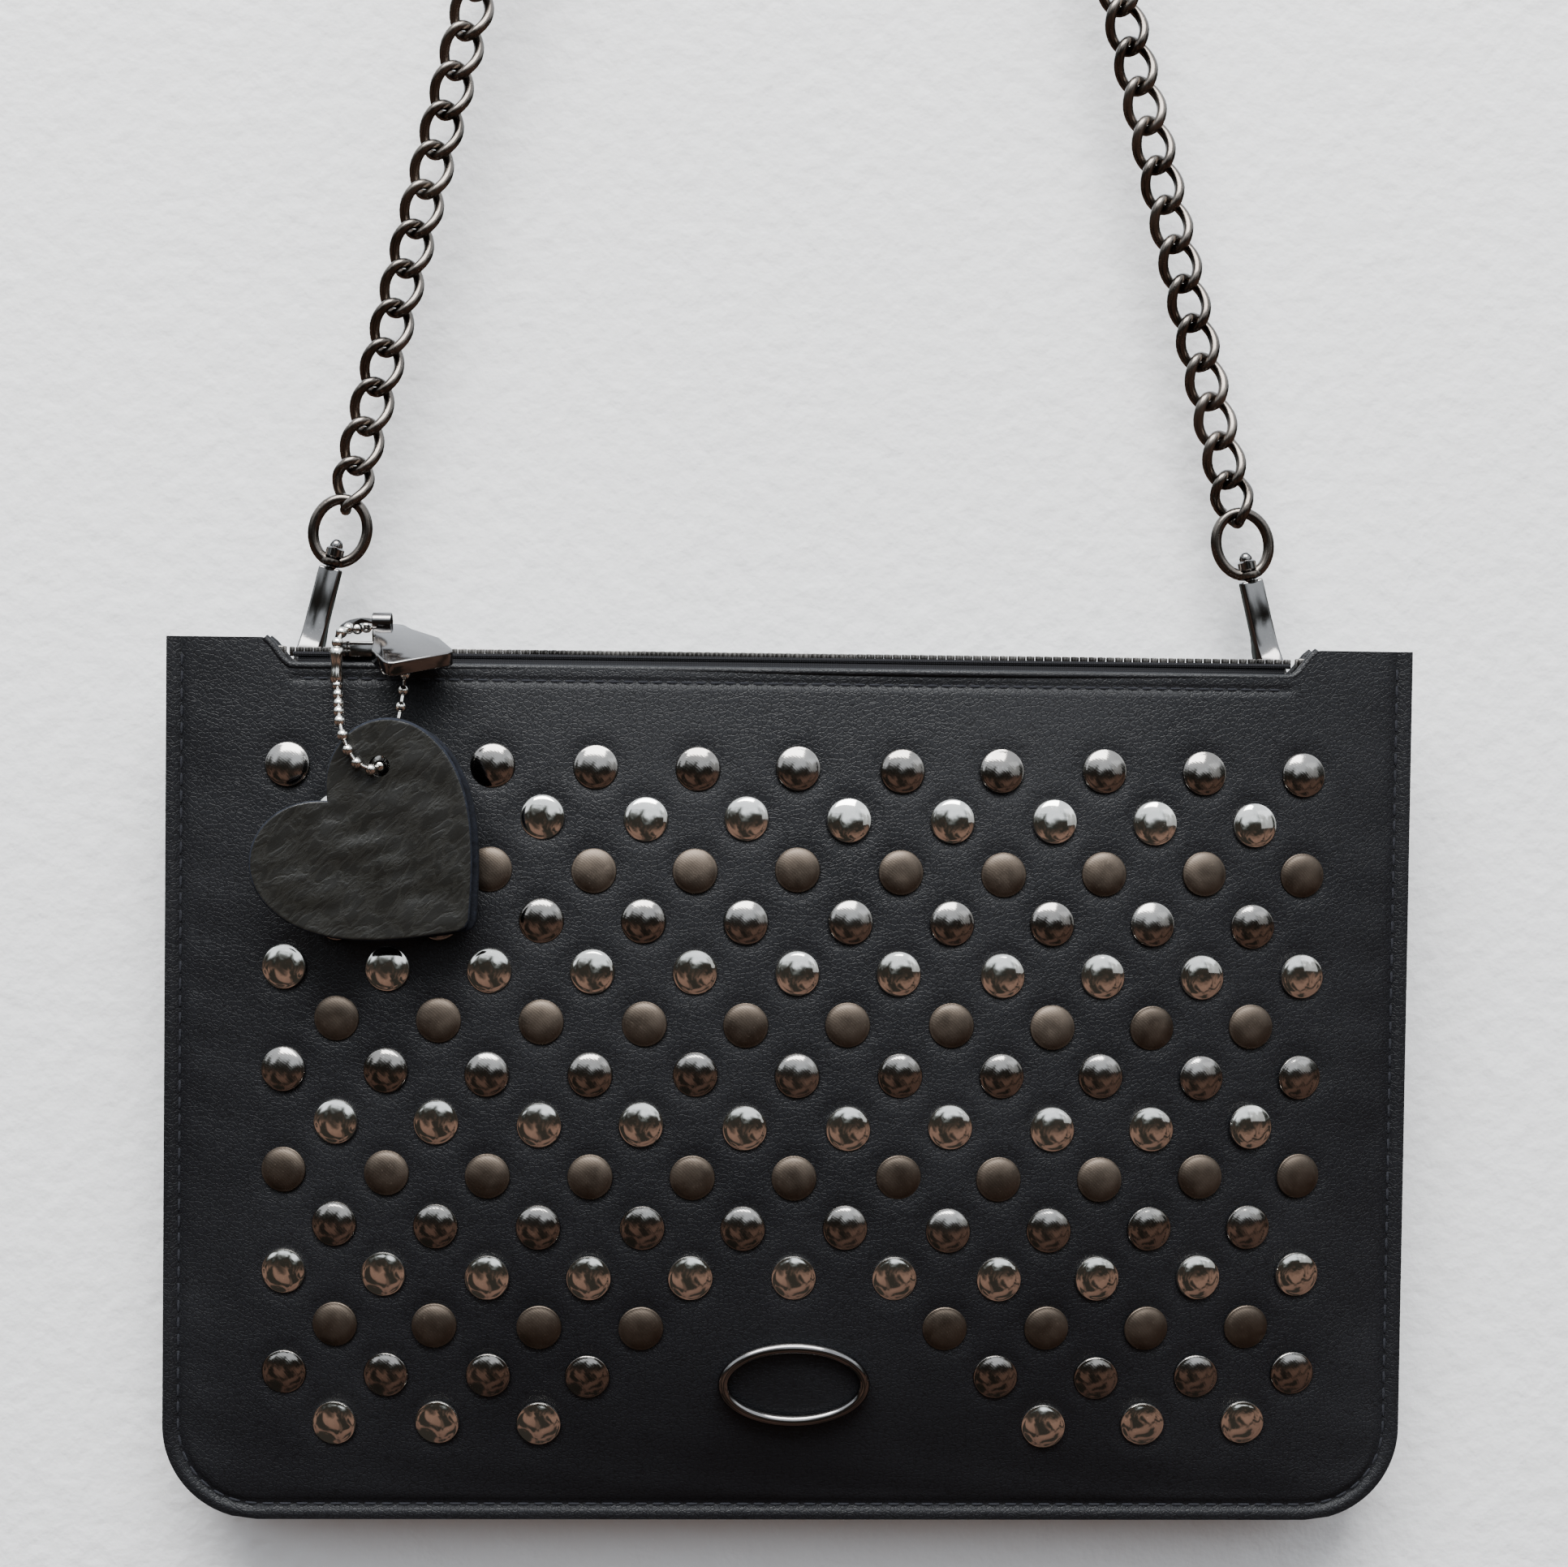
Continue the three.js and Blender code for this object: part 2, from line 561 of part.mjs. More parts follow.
// ---- D-rings and their leather tabs -----------------------------------------------------
const TAB_WIDTH = 10;
const TAB_BOTTOM = 138;
const BAR_HEIGHT = 155;
const BOW_HEIGHT = 165;
const TAB_LEATHER = 1.2;
const D_WIRE_RADIUS = 1.1;
const TAB_LOOP_RADIUS = D_WIRE_RADIUS + GAP + TAB_LEATHER;
const TAB_BACK = faceDepth(BOW_PLACE.x - TAB_WIDTH / 2, TAB_BOTTOM, false) + GAP;
const BAR_DEPTH = TAB_BACK + TAB_LOOP_RADIUS;
const BOW_DEPTH = BAR_DEPTH + 1;

const ringTab = () => {
  const shape = new THREE.Shape();
  shape.moveTo(TAB_BACK, TAB_BOTTOM);
  shape.lineTo(TAB_BACK + 2 * TAB_LEATHER + GAP, TAB_BOTTOM);
  shape.lineTo(TAB_BACK + 2 * TAB_LEATHER + GAP, BAR_HEIGHT - 4);
  shape.lineTo(BAR_DEPTH + TAB_LOOP_RADIUS, BAR_HEIGHT);
  shape.absarc(BAR_DEPTH, BAR_HEIGHT, TAB_LOOP_RADIUS, 0, Math.PI, false);
  const bore = new THREE.Path();
  bore.absarc(BAR_DEPTH, BAR_HEIGHT, D_WIRE_RADIUS + GAP, 0, Math.PI * 2, true);
  shape.holes.push(bore);
  return plateAlongX(shape, TAB_WIDTH, 4);
};

// The ring's straight bar lies in the tab and its arch goes up to the hook.
const dRing = () => {
  const halfWidth = TAB_WIDTH / 2 + GAP + D_WIRE_RADIUS + 0.2;
  const rise = BOW_HEIGHT - BAR_HEIGHT;
  const ring = wireLoop(6, 12, (u) => {
    const low = Math.sin(u) < -0.1;
    const x = low ? Math.cos(u) * 2 * halfWidth : halfWidth * Math.cos(u);
    const clamped = THREE.MathUtils.clamp(x, -halfWidth, halfWidth);
    const z = low ? 0 : rise * (0.28 + 0.72 * Math.sin(u));
    const outward = new THREE.Vector3(Math.cos(u), 0, low ? -1 : Math.sin(u)).normalize();
    return { middle: new THREE.Vector3(clamped, 0, z), outward, radius: D_WIRE_RADIUS };
  });
  const lean = Math.atan2(BOW_DEPTH - BAR_DEPTH, rise);
  return ring.rotateX(-lean).translate(0, BAR_DEPTH, BAR_HEIGHT);
};

const addRings = (pouch) => {
  for (const side of [-1, 1]) {
    const name = side < 0 ? 'left' : 'right';
    const x = side * BOW_PLACE.x;
    node(`d_ring_tab_${name}`, ringTab().translate(x, 0, 0), finishes.leather, pouch);
    node(`d_ring_${name}`, dRing().translate(x, 0, 0), finishes.gunmetal, pouch);
  }
};

// ---- Charm ------------------------------------------------------------------------------
const heartShape = () => {
  const shape = new THREE.Shape();
  shape.moveTo(0, -27);
  shape.bezierCurveTo(11, -18.5, 24, -8, 22.9, 5);
  shape.bezierCurveTo(22, 16, 8.5, 20.5, 0, 10);
  shape.bezierCurveTo(-8.5, 20.5, -22, 16, -22.9, 5);
  shape.bezierCurveTo(-24, -8, -11, -18.5, 0, -27);
  const hole = new THREE.Path();
  hole.absarc(HEART_HOLE_X, HEART_HOLE_HEIGHT, HEART_HOLE_RADIUS, 0, Math.PI * 2, true);
  shape.holes.push(hole);
  return shape;
};

const heartLayer = () => {
  const options = { depth: HEART_LAYER, bevelEnabled: false, curveSegments: 6 };
  const layer = new THREE.ExtrudeGeometry(heartShape(), options);
  layer.translate(-HEART_HOLE_X, -HEART_HOLE_HEIGHT, 0);
  return layer.rotateZ(HEART_TURN).rotateX(Math.PI / 2);
};

const cordThrough = (points, steps) =>
  cord(points.map((p) => new THREE.Vector3(...p)), CORD_RADIUS, steps);

const addCharm = (pouch) => {
  const loop = cordThrough([
    [-90.4, -7.8, 175.9], [-89.6, -4.6, 178.6], [-87.6, -0.2, 178.9], [-85.6, 3.2, 179.4],
    [-82.4, 4.6, 179.2], [-78.9, 2.9, 178.2], [-77.4, -0.4, 177.4], [-77, -4, 175.9],
    [-77, -5.6, 174.2],
  ], 20);
  node('ball_chain_loop', loop, finishes.nickel, pouch);
  const left = cordThrough([
    [-90.3, -8, 167.5], [-89.4, -12.4, 164.2], [-88.4, -17.9, 160.5], [-87.2, -19.1, 156.5],
    [-85.4, -19.2, 153], [-82.6, -18.9, 151.3], [-80.9, -17.6, 151.7], [-80.8, -16.4, 151.9],
  ], 14);
  node('ball_chain_left', left, finishes.nickel, pouch);
  const right = cordThrough([
    [-77, -6, 173], [-77.3, -8.2, 167], [-78.2, -10.4, 160], [-79.6, -11.8, 155],
    [-80.6, -12.8, 152.6], [-80.8, -14.4, 151.9],
  ], 10);
  node('ball_chain_right', right, finishes.nickel, pouch);
  const clasp = turned([[0, -3.6], [1.4, -3.6], [1.4, 3.6], [0, 3.6]], 8);
  node('ball_chain_clasp', clasp.translate(-90.5, -7.8, 171.4), finishes.nickel, pouch);
  const heart = new THREE.Group();
  heart.position.copy(CHARM_HOLE);
  pouch.add(heart);
  node('heart_front', heartLayer().translate(0, -GAP / 2, 0), finishes.charm, heart);
  node('heart_back', heartLayer().translate(0, HEART_LAYER + GAP / 2, 0), finishes.suede, heart);
};

// ---- The whole --------------------------------------------------------------------------
// The pouch is heavier in front of its D-rings, so all of it hangs a little off plumb.
const part = new THREE.Group();
part.rotation.x = HANG_TILT;
addStrap(part);
addHook(-1, 'left', part);
addHook(1, 'right', part);

const pouch = new THREE.Group();
pouch.position.set(0, -BOW_DEPTH, BOW_PLACE.z - BOW_HEIGHT);
part.add(pouch);
addPanels(pouch);
addZip(pouch);
addSlider(pouch);
addStuds(pouch);
addEmblem(pouch);
addRings(pouch);
addCharm(pouch);

export default part;
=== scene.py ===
"""A studded leather zip pouch on a curb chain strap, built around its fixed CAD frame.

Lengths inside the piece builders are in millimetres; meshes are made in metres.
Pouch coordinates have X across, Y from the pouch's middle plane and Z up from its bottom edge.
"""
import math
import random

import bmesh
import bpy
import numpy as np
from bpy.props import FloatProperty, FloatVectorProperty, PointerProperty
from mathutils import Matrix, Quaternion, Vector


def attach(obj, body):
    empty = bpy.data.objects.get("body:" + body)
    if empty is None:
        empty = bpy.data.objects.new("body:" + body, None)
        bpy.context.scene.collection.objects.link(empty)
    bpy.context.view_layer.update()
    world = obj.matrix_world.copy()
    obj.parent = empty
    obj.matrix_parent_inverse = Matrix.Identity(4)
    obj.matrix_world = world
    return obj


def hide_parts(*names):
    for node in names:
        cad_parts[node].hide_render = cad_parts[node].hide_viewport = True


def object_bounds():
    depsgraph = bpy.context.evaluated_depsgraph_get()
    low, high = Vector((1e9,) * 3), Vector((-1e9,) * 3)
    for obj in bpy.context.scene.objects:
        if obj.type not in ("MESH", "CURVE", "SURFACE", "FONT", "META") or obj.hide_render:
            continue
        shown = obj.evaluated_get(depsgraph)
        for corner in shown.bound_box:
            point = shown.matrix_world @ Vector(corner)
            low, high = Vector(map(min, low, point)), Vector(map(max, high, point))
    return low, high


bl_info = {
    "name": "Studded Pouch",
    "version": (1, 0, 0),
    "blender": (4, 5, 0),
    "location": "3D View > Sidebar > Pouch",
    "description": "Builds a studded zip pouch on its chain strap around a CAD frame",
    "category": "Add Mesh",
}

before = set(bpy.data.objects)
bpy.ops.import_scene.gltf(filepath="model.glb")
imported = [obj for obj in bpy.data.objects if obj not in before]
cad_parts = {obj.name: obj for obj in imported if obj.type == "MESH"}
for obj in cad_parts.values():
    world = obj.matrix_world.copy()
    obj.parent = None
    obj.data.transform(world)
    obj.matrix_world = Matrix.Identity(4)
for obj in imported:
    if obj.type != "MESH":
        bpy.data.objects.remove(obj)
CAD_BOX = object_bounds()

# ---- Sizes shared with the frame, in millimetres -------------------------------------------
MM = 0.001
PEG_RADIUS = 20.0
ARM_LEAN = math.radians(13.7)
LINK_PITCH = 8.25
LINK_TOTAL = 77
LINKS_OVER_PEG = 7
LINKS_PER_ARM = 35
LOWER_LINKS = 18
LINK_HALF_LENGTH = 5.2
LINK_HALF_WIDTH = 3.45
LINK_WIRE = 1.05
BOW_MIDDLE = 358.1
HOOK_LENGTH = 28.55
HOOK_THICKNESS = 4.4
RING_HALF_WIDTH = 5.4
RING_HALF_HEIGHT = 6.55
RING_WIRE = 1.12

WIDTH = 250.0
HEIGHT = 177.0
CORNER_RADIUS = 19.0
FLANGE = 4.0
SEAM_HALF = 0.95
LEATHER = 1.3
BULGE = 8.75
BACK_BULGE = 6.0
MOUTH_BULGE = 0.3
FULLEST = 0.45
MOUTH_HEIGHT = 171.5
MOUTH_END = 100.0
LAND_START = 106.0
ROLL_RADIUS = 0.86
SHARED_TOP = 157.0
POUCH = Vector((0.0, -9.484, -495.641))
HANG_TILT = math.radians(1.6)  # all of it hangs a little off plumb
HANG = Matrix.Rotation(HANG_TILT, 4, "X")

TEETH_TOP = 175.2
TEETH_HEIGHT = 1.9
ZIP_HALF_LENGTH = 101.5
SLIDER_X = -86.0
SLIDER_TOP = 176.4
BRIDGE_TOP = 181.3
PULL_SLOPE = math.radians(24)
PULL_TURN = math.radians(28)

GRID_CENTRE = 1.0
STUD_PITCH = 20.3
ROW_PITCH = 10.12
TOP_ROW = 152.0
STUD_ROWS = 14
EMBLEM_PLACE = (1.3, 29.6)
BOW_X = 100.789
TAB_LEATHER = 1.2
TAB_HALF_WIDTH = 5.0
STITCH_FILL = 0.72  # share of each step that its thread covers
BAR_HEIGHT = 155.0
BAR_DEPTH = 8.484
BOW_HEIGHT = 165.0
BOW_DEPTH = 9.484
CHARM_HOLE = Vector((-80.8, -15.6, 151.9))
HEART_TURN = math.radians(48)
HEART_HOLE = (11.8, 7.1)
HEART_HOLE_RADIUS = 2.05
BACKING_SLIP = Vector((1.4, 0.0, -0.5))  # the backing is glued on a little askew


# ---- Mesh building -------------------------------------------------------------------------
class Heap:
    """Points in millimetres and faces that end up as one mesh."""

    def __init__(self):
        self.points = []
        self.faces = []
        self.slots = []

    def add(self, points, faces, place=None, slot=0):
        first = len(self.points)
        for point in points:
            spot = Vector(point)
            self.points.append(place @ spot if place is not None else spot)
        for face in faces:
            self.faces.append([first + corner for corner in face])
            self.slots.append(slot)
        return self


def piece(name, heap, materials, body, replaces=(), smooth_angle=40):
    """Makes the mesh, gives it its finishes and lets it ride on its body."""
    mesh = bpy.data.meshes.new(name)
    mesh.from_pydata([tuple(HANG @ point * MM) for point in heap.points], [], heap.faces)
    mesh.polygons.foreach_set("material_index", heap.slots)
    mesh.validate()
    thing = bpy.data.objects.new(name, mesh)
    bpy.context.scene.collection.objects.link(thing)
    for material in materials:
        mesh.materials.append(material)
    work = bmesh.new()
    work.from_mesh(mesh)
    bmesh.ops.recalc_face_normals(work, faces=work.faces)
    limit = math.radians(smooth_angle)
    for face in work.faces:
        face.smooth = True
    for edge in work.edges:
        if len(edge.link_faces) == 2 and edge.calc_face_angle(0.0) > limit:
            edge.smooth = False
    work.to_mesh(mesh)
    work.free()
    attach(thing, body)
    if replaces:
        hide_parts(*replaces)
    return thing


def pouch_place():
    return Matrix.Translation(POUCH)


def ring_faces(rows, columns, closed_rows=False, closed_columns=True):
    """Quads over a grid of points stored row by row."""
    faces = []
    for row in range(rows if closed_rows else rows - 1):
        below = row * columns
        above = ((row + 1) % rows) * columns
        for column in range(columns if closed_columns else columns - 1):
            after = (column + 1) % columns
            faces.append((below + column, below + after, above + after, above + column))
    return faces


def tube(path, radius, sides=12, closed=False, squash=1.0):
    """A round wire along a path. Radius may be a list, one for each point."""
    path = [Vector(p) for p in path]
    count = len(path)
    radii = radius if isinstance(radius, (list, tuple)) else [radius] * count
    tangents = []
    for i in range(count):
        before = path[i - 1] if closed or i > 0 else path[i]
        after = path[(i + 1) % count] if closed or i < count - 1 else path[i]
        tangents.append((after - before).normalized())
    side = tangents[0].orthogonal().normalized()
    frames = []
    for i in range(count):
        if i:
            side = (side - tangents[i] * side.dot(tangents[i])).normalized()
        frames.append(side.copy())
    drift = 0.0
    if closed:
        last = (frames[-1] - tangents[0] * frames[-1].dot(tangents[0])).normalized()
        across = tangents[0].cross(frames[0])
        drift = math.atan2(last.dot(across), last.dot(frames[0]))
    points = []
    for i in range(count):
        turn = -drift * i / count
        out = Quaternion(tangents[i], turn) @ frames[i]
        up = tangents[i].cross(out)
        for k in range(sides):
            angle = 2 * math.pi * k / sides
            reach = out * math.cos(angle) + up * math.sin(angle) * squash
            points.append(path[i] + reach * radii[i])
    faces = ring_faces(count, sides, closed_rows=closed)
    if not closed:
        faces.append(tuple(range(sides - 1, -1, -1)))
        faces.append(tuple(range((count - 1) * sides, count * sides)))
    return points, faces


def lathe(profile, segments=24):
    """A turned solid about Z from pairs of radius and height, the first and last on the axis."""
    points = [Vector((0, 0, profile[0][1]))]
    inner = profile[1:-1]
    for radius, height in inner:
        for k in range(segments):
            angle = 2 * math.pi * k / segments
            points.append(Vector((radius * math.cos(angle), radius * math.sin(angle), height)))
    points.append(Vector((0, 0, profile[-1][1])))
    top = len(points) - 1
    faces = [(0, 1 + (k + 1) % segments, 1 + k) for k in range(segments)]
    for a, b, c, d in ring_faces(len(inner), segments):
        faces.append((a + 1, b + 1, c + 1, d + 1))
    start = 1 + (len(inner) - 1) * segments
    faces += [(top, start + k, start + (k + 1) % segments) for k in range(segments)]
    return points, faces


def ball(radius, segments=12, rings=8):
    profile = []
    for k in range(rings + 1):
        angle = math.pi * k / rings - math.pi / 2
        profile.append((radius * math.cos(angle), radius * math.sin(angle)))
    return lathe(profile, segments)


def from_bmesh(work):
    points = [v.co.copy() for v in work.verts]
    work.verts.index_update()
    faces = [tuple(v.index for v in face.verts) for face in work.faces]
    work.free()
    return points, faces


def plate(outline, low, high, bevel=0.3, segments=3):
    """A flat shape in X and Y, thick from low to high in Z, with rounded edges."""
    work = bmesh.new()
    base = [work.verts.new((x, y, low)) for x, y in outline]
    face = work.faces.new(base)
    grown = bmesh.ops.extrude_face_region(work, geom=[face])
    moved = [g for g in grown["geom"] if isinstance(g, bmesh.types.BMVert)]
    bmesh.ops.translate(work, verts=moved, vec=(0, 0, high - low))
    bmesh.ops.recalc_face_normals(work, faces=work.faces)
    if bevel > 0:
        sharp = [e for e in work.edges if e.calc_face_angle(0.0) > math.radians(35)]
        bmesh.ops.bevel(
            work, geom=sharp, offset=bevel, segments=segments, profile=0.5,
            affect="EDGES", clamp_overlap=True,
        )
    return from_bmesh(work)


def block(low, high, bevel=0.2, segments=3):
    outline = [(low[0], low[1]), (high[0], low[1]), (high[0], high[1]), (low[0], high[1])]
    return plate(outline, low[2], high[2], bevel, segments)


def arc(cx, cy, radius, start, end, steps):
    return [
        (cx + radius * math.cos(start + (end - start) * k / steps),
         cy + radius * math.sin(start + (end - start) * k / steps))
        for k in range(steps + 1)
    ]


def bezier(a, b, c, d, steps):
    spots = []
    for k in range(steps):
        t = k / steps
        s = 1 - t
        weights = (s ** 3, 3 * s * s * t, 3 * s * t * t, t ** 3)
        x = sum(w * p[0] for w, p in zip(weights, (a, b, c, d)))
        y = sum(w * p[1] for w, p in zip(weights, (a, b, c, d)))
        spots.append((x, y))
    return spots


def smooth_path(knots, step):
    """Points about step apart on a smooth curve through the knots."""
    knots = [Vector(k) for k in knots]
    ends = [knots[0] * 2 - knots[1]] + knots + [knots[-1] * 2 - knots[-2]]
    fine = []
    for i in range(1, len(ends) - 2):
        a, b, c, d = ends[i - 1:i + 3]
        for k in range(16):
            t = k / 16
            fine.append(
                0.5 * ((2 * b) + (c - a) * t + (2 * a - 5 * b + 4 * c - d) * t ** 2
                       + (3 * b - a - 3 * c + d) * t ** 3)
            )
    fine.append(knots[-1])
    return even_points(fine, step)


def even_points(path, step, closed=False):
    """Points at even distances along a path, as near to step apart as fits it."""
    path = [Vector(p) for p in path]
    if closed:
        path.append(path[0])
    lengths = [0.0]
    for a, b in zip(path, path[1:]):
        lengths.append(lengths[-1] + (b - a).length)
    count = max(1, round(lengths[-1] / step))
    points = []
    at = 0
    for k in range(count if closed else count + 1):
        want = lengths[-1] * k / count
        while at < len(path) - 2 and lengths[at + 1] < want:
            at += 1
        span = lengths[at + 1] - lengths[at]
        share = (want - lengths[at]) / span if span > 0 else 0.0
        points.append(path[at].lerp(path[at + 1], share))
    return points


def facing(position, normal, about=Vector((0, 0, 1))):
    """A place whose Z is the normal and whose Y is as near to about as it can be."""
    out = Vector(normal).normalized()
    across = Vector(about).cross(out).normalized()
    up = out.cross(across)
    turn = Matrix((across, up, out)).transposed().to_4x4()
    return Matrix.Translation(Vector(position)) @ turn


# ---- Shader groups -------------------------------------------------------------------------
class Shade:
    """Adds nodes to one node tree, left to right."""

    def __init__(self, tree):
        self.tree = tree
        self.column = 0

    def node(self, kind, values=None, **settings):
        made = self.tree.nodes.new(kind)
        self.column += 1
        made.location = (self.column * 190, 0)
        for name, value in settings.items():
            setattr(made, name, value)
        for name, value in (values or {}).items():
            if isinstance(value, bpy.types.NodeSocket):
                self.tree.links.new(value, made.inputs[name])
            else:
                made.inputs[name].default_value = value
        return made

    def math(self, operation, a, b=0.0):
        return self.node("ShaderNodeMath", {0: a, 1: b}, operation=operation).outputs[0]

    def noise(self, vector, scale, detail=3.0, distortion=0.0):
        values = {"Vector": vector, "Scale": scale, "Detail": detail, "Distortion": distortion}
        return self.node("ShaderNodeTexNoise", values).outputs["Fac"]

    def remap(self, value, low, high, to_low=0.0, to_high=1.0):
        values = {"Value": value, "From Min": low, "From Max": high}
        values.update({"To Min": to_low, "To Max": to_high})
        return self.node("ShaderNodeMapRange", values).outputs["Result"]

    def mix(self, share, a, b):
        made = self.node("ShaderNodeMix", data_type="RGBA")
        for socket, value in ((made.inputs[0], share), (made.inputs[6], a), (made.inputs[7], b)):
            if isinstance(value, bpy.types.NodeSocket):
                self.tree.links.new(value, socket)
            else:
                socket.default_value = value
        return made.outputs[2]

    def bump(self, height, strength, distance, normal=None):
        values = {"Height": height, "Strength": strength, "Distance": distance}
        if normal is not None:
            values["Normal"] = normal
        return self.node("ShaderNodeBump", values).outputs["Normal"]


def shader_group(name, inputs, outputs):
    """An empty node group with its sockets, and its builder, inputs and output node."""
    tree = bpy.data.node_groups.new(name, "ShaderNodeTree")
    for label, default in inputs.items():
        kind = "NodeSocketVector" if default is None else "NodeSocketFloat"
        socket = tree.interface.new_socket(name=label, in_out="INPUT", socket_type=kind)
        if default is not None:
            socket.default_value = default
    for label in outputs:
        tree.interface.new_socket(name=label, in_out="OUTPUT", socket_type="NodeSocketFloat")
    shade = Shade(tree)
    source = shade.node("NodeGroupInput")
    target = tree.nodes.new("NodeGroupOutput")
    target.location = (2600, 0)
    return tree, shade, source.outputs, target.inputs


def build_pebble_grain():
    """Close pebbles with creases between them, and a slow unevenness over them. Its Shade output is low
    in the creases and marks painted shade there.
    """
    inputs = {"Vector": None, "Scale": 1200.0, "Crease": 0.12}
    tree, shade, given, out = shader_group("Pebble Grain", inputs, ("Height", "Shade"))
    wobble = shade.node(
        "ShaderNodeTexNoise", {"Vector": given["Vector"], "Scale": 500.0, "Detail": 2.0}
    ).outputs["Color"]
    shift = shade.node("ShaderNodeVectorMath", {0: wobble}, operation="SCALE")
    shift.inputs["Scale"].default_value = 0.0012
    moved = shade.node(
        "ShaderNodeVectorMath", {0: given["Vector"], 1: shift.outputs[0]}, operation="ADD"
    ).outputs[0]
    cells = {"Vector": moved, "Scale": given["Scale"]}
    edge = shade.node("ShaderNodeTexVoronoi", cells, feature="DISTANCE_TO_EDGE")
    crease = shade.remap(edge.outputs["Distance"], 0.0, given["Crease"])
    large = shade.noise(given["Vector"], 260.0, 3.0)
    swell = shade.math("MULTIPLY", large, 0.9)
    shade.tree.links.new(shade.math("ADD", crease, swell), out["Height"])
    # Shade: the crease mask that darkens the colour, painted shade in the creases
    shade.tree.links.new(crease, out["Shade"])
    return tree


def build_crinkle():
    """Long branching creases of a glazed skin."""
    inputs = {"Vector": None, "Scale": 260.0}
    tree, shade, given, out = shader_group("Crinkle", inputs, ("Height", "Shade"))
    values = {"Vector": given["Vector"], "Rotation": (0, math.radians(45), 0), "Scale": (1, 1, 2.4)}
    drawn = shade.node("ShaderNodeMapping", values, vector_type="TEXTURE").outputs[0]
    first = shade.noise(drawn, given["Scale"], 5.0, 0.35)
    ridge = shade.math("ABSOLUTE", shade.math("SUBTRACT", first, 0.5))
    sharp = shade.remap(ridge, 0.0, 0.09)
    fine_scale = shade.math("MULTIPLY", given["Scale"], 3.7)
    fine = shade.noise(drawn, fine_scale, 4.0, 0.4)
    height = shade.math("ADD", sharp, shade.math("MULTIPLY", fine, 0.7))
    shade.tree.links.new(height, out["Height"])
    shade.tree.links.new(sharp, out["Shade"])
    return tree


def build_wear():
    """Scattered rubs and specks."""
    inputs = {"Vector": None, "Scale": 60.0, "Amount": 0.35}
    tree, shade, given, out = shader_group("Wear", inputs, ("Mask",))
    broad = shade.noise(given["Vector"], given["Scale"], 5.0, 0.4)
    least = shade.math("SUBTRACT", 1.0, given["Amount"])
    most = shade.math("ADD", least, 0.22)
    rubs = shade.remap(broad, least, most)
    specks = shade.noise(given["Vector"], 2600.0, 1.0)
    specks = shade.remap(specks, 0.66, 0.74)
    shade.tree.links.new(shade.math("MAXIMUM", rubs, specks), out["Mask"])
    return tree


def build_haze():
    """A slow cloudiness, as of handling and polish."""
    inputs = {"Vector": None, "Scale": 90.0}
    tree, shade, given, out = shader_group("Haze", inputs, ("Mask",))
    cloud = shade.noise(given["Vector"], given["Scale"], 4.0, 0.3)
    shade.tree.links.new(shade.remap(cloud, 0.3, 0.7), out["Mask"])
    return tree


def build_brushing():
    """Fine wavering lines left by polishing."""
    inputs = {"Vector": None, "Scale": 900.0}
    tree, shade, given, out = shader_group("Brushing", inputs, ("Height",))
    values = {"Vector": given["Vector"], "Scale": given["Scale"], "Distortion": 3.0, "Detail": 2.0}
    wave = shade.node("ShaderNodeTexWave", values, wave_type="BANDS", bands_direction="DIAGONAL")
    fine = shade.noise(given["Vector"], 3200.0, 2.0)
    shade.tree.links.new(shade.math("ADD", wave.outputs["Fac"], fine), out["Height"])
    return tree


def build_weave():
    """Threads over and under each other, along X and along Z. Its Shade output follows the threads'
    height and marks painted shade and light.
    """
    inputs = {"Vector": None, "Scale": 600.0}
    tree, shade, given, out = shader_group("Weave", inputs, ("Height", "Shade"))
    waves = []
    for direction in ("X", "Z"):
        values = {"Vector": given["Vector"], "Scale": given["Scale"], "Distortion": 0.6}
        values["Detail"] = 1.0
        made = shade.node("ShaderNodeTexWave", values, wave_type="BANDS", bands_direction=direction)
        waves.append(made.outputs["Fac"])
    crossed = shade.math("MULTIPLY", waves[0], waves[1])
    fuzz = shade.noise(given["Vector"], 2400.0, 2.0)
    height = shade.math("ADD", crossed, shade.math("MULTIPLY", fuzz, 0.35))
    shade.tree.links.new(height, out["Height"])
    # Shade: high on the raised threads and low between them, for painted shade and light
    shade.tree.links.new(crossed, out["Shade"])
    return tree


GROUP_BUILDERS = {
    "Pebble Grain": build_pebble_grain,
    "Crinkle": build_crinkle,
    "Wear": build_wear,
    "Haze": build_haze,
    "Brushing": build_brushing,
    "Weave": build_weave,
}


def use_group(shade, name, vector, **values):
    """Places a shader group in a material, making the group the first time."""
    tree = bpy.data.node_groups.get(name) or GROUP_BUILDERS[name]()
    made = shade.node("ShaderNodeGroup", node_tree=tree)
    made.node_tree = tree
    shade.tree.links.new(vector, made.inputs["Vector"])
    for label, value in values.items():
        made.inputs[label].default_value = value
    return made.outputs


# ---- Finishes ------------------------------------------------------------------------------
def start_material(name):
    """A material with only its output and shader, its builder and its object coordinates."""
    material = bpy.data.materials.new(name)
    material.use_nodes = True
    tree = material.node_tree
    tree.nodes.clear()
    shade = Shade(tree)
    place = shade.node("ShaderNodeTexCoord").outputs["Object"]
    shader = tree.nodes.new("ShaderNodeBsdfPrincipled")
    shader.location = (2700, 0)
    output = tree.nodes.new("ShaderNodeOutputMaterial")
    output.location = (3000, 0)
    tree.links.new(shader.outputs["BSDF"], output.inputs["Surface"])
    return material, shade, place, shader


def connect(shade, shader, **sockets):
    for label, value in sockets.items():
        name = label.replace("_", " ")
        if isinstance(value, bpy.types.NodeSocket):
            shade.tree.links.new(value, shader.inputs[name])
        else:
            shader.inputs[name].default_value = value


def rgb(color, gain=1.0):
    return (color[0] * gain, color[1] * gain, color[2] * gain, 1.0)


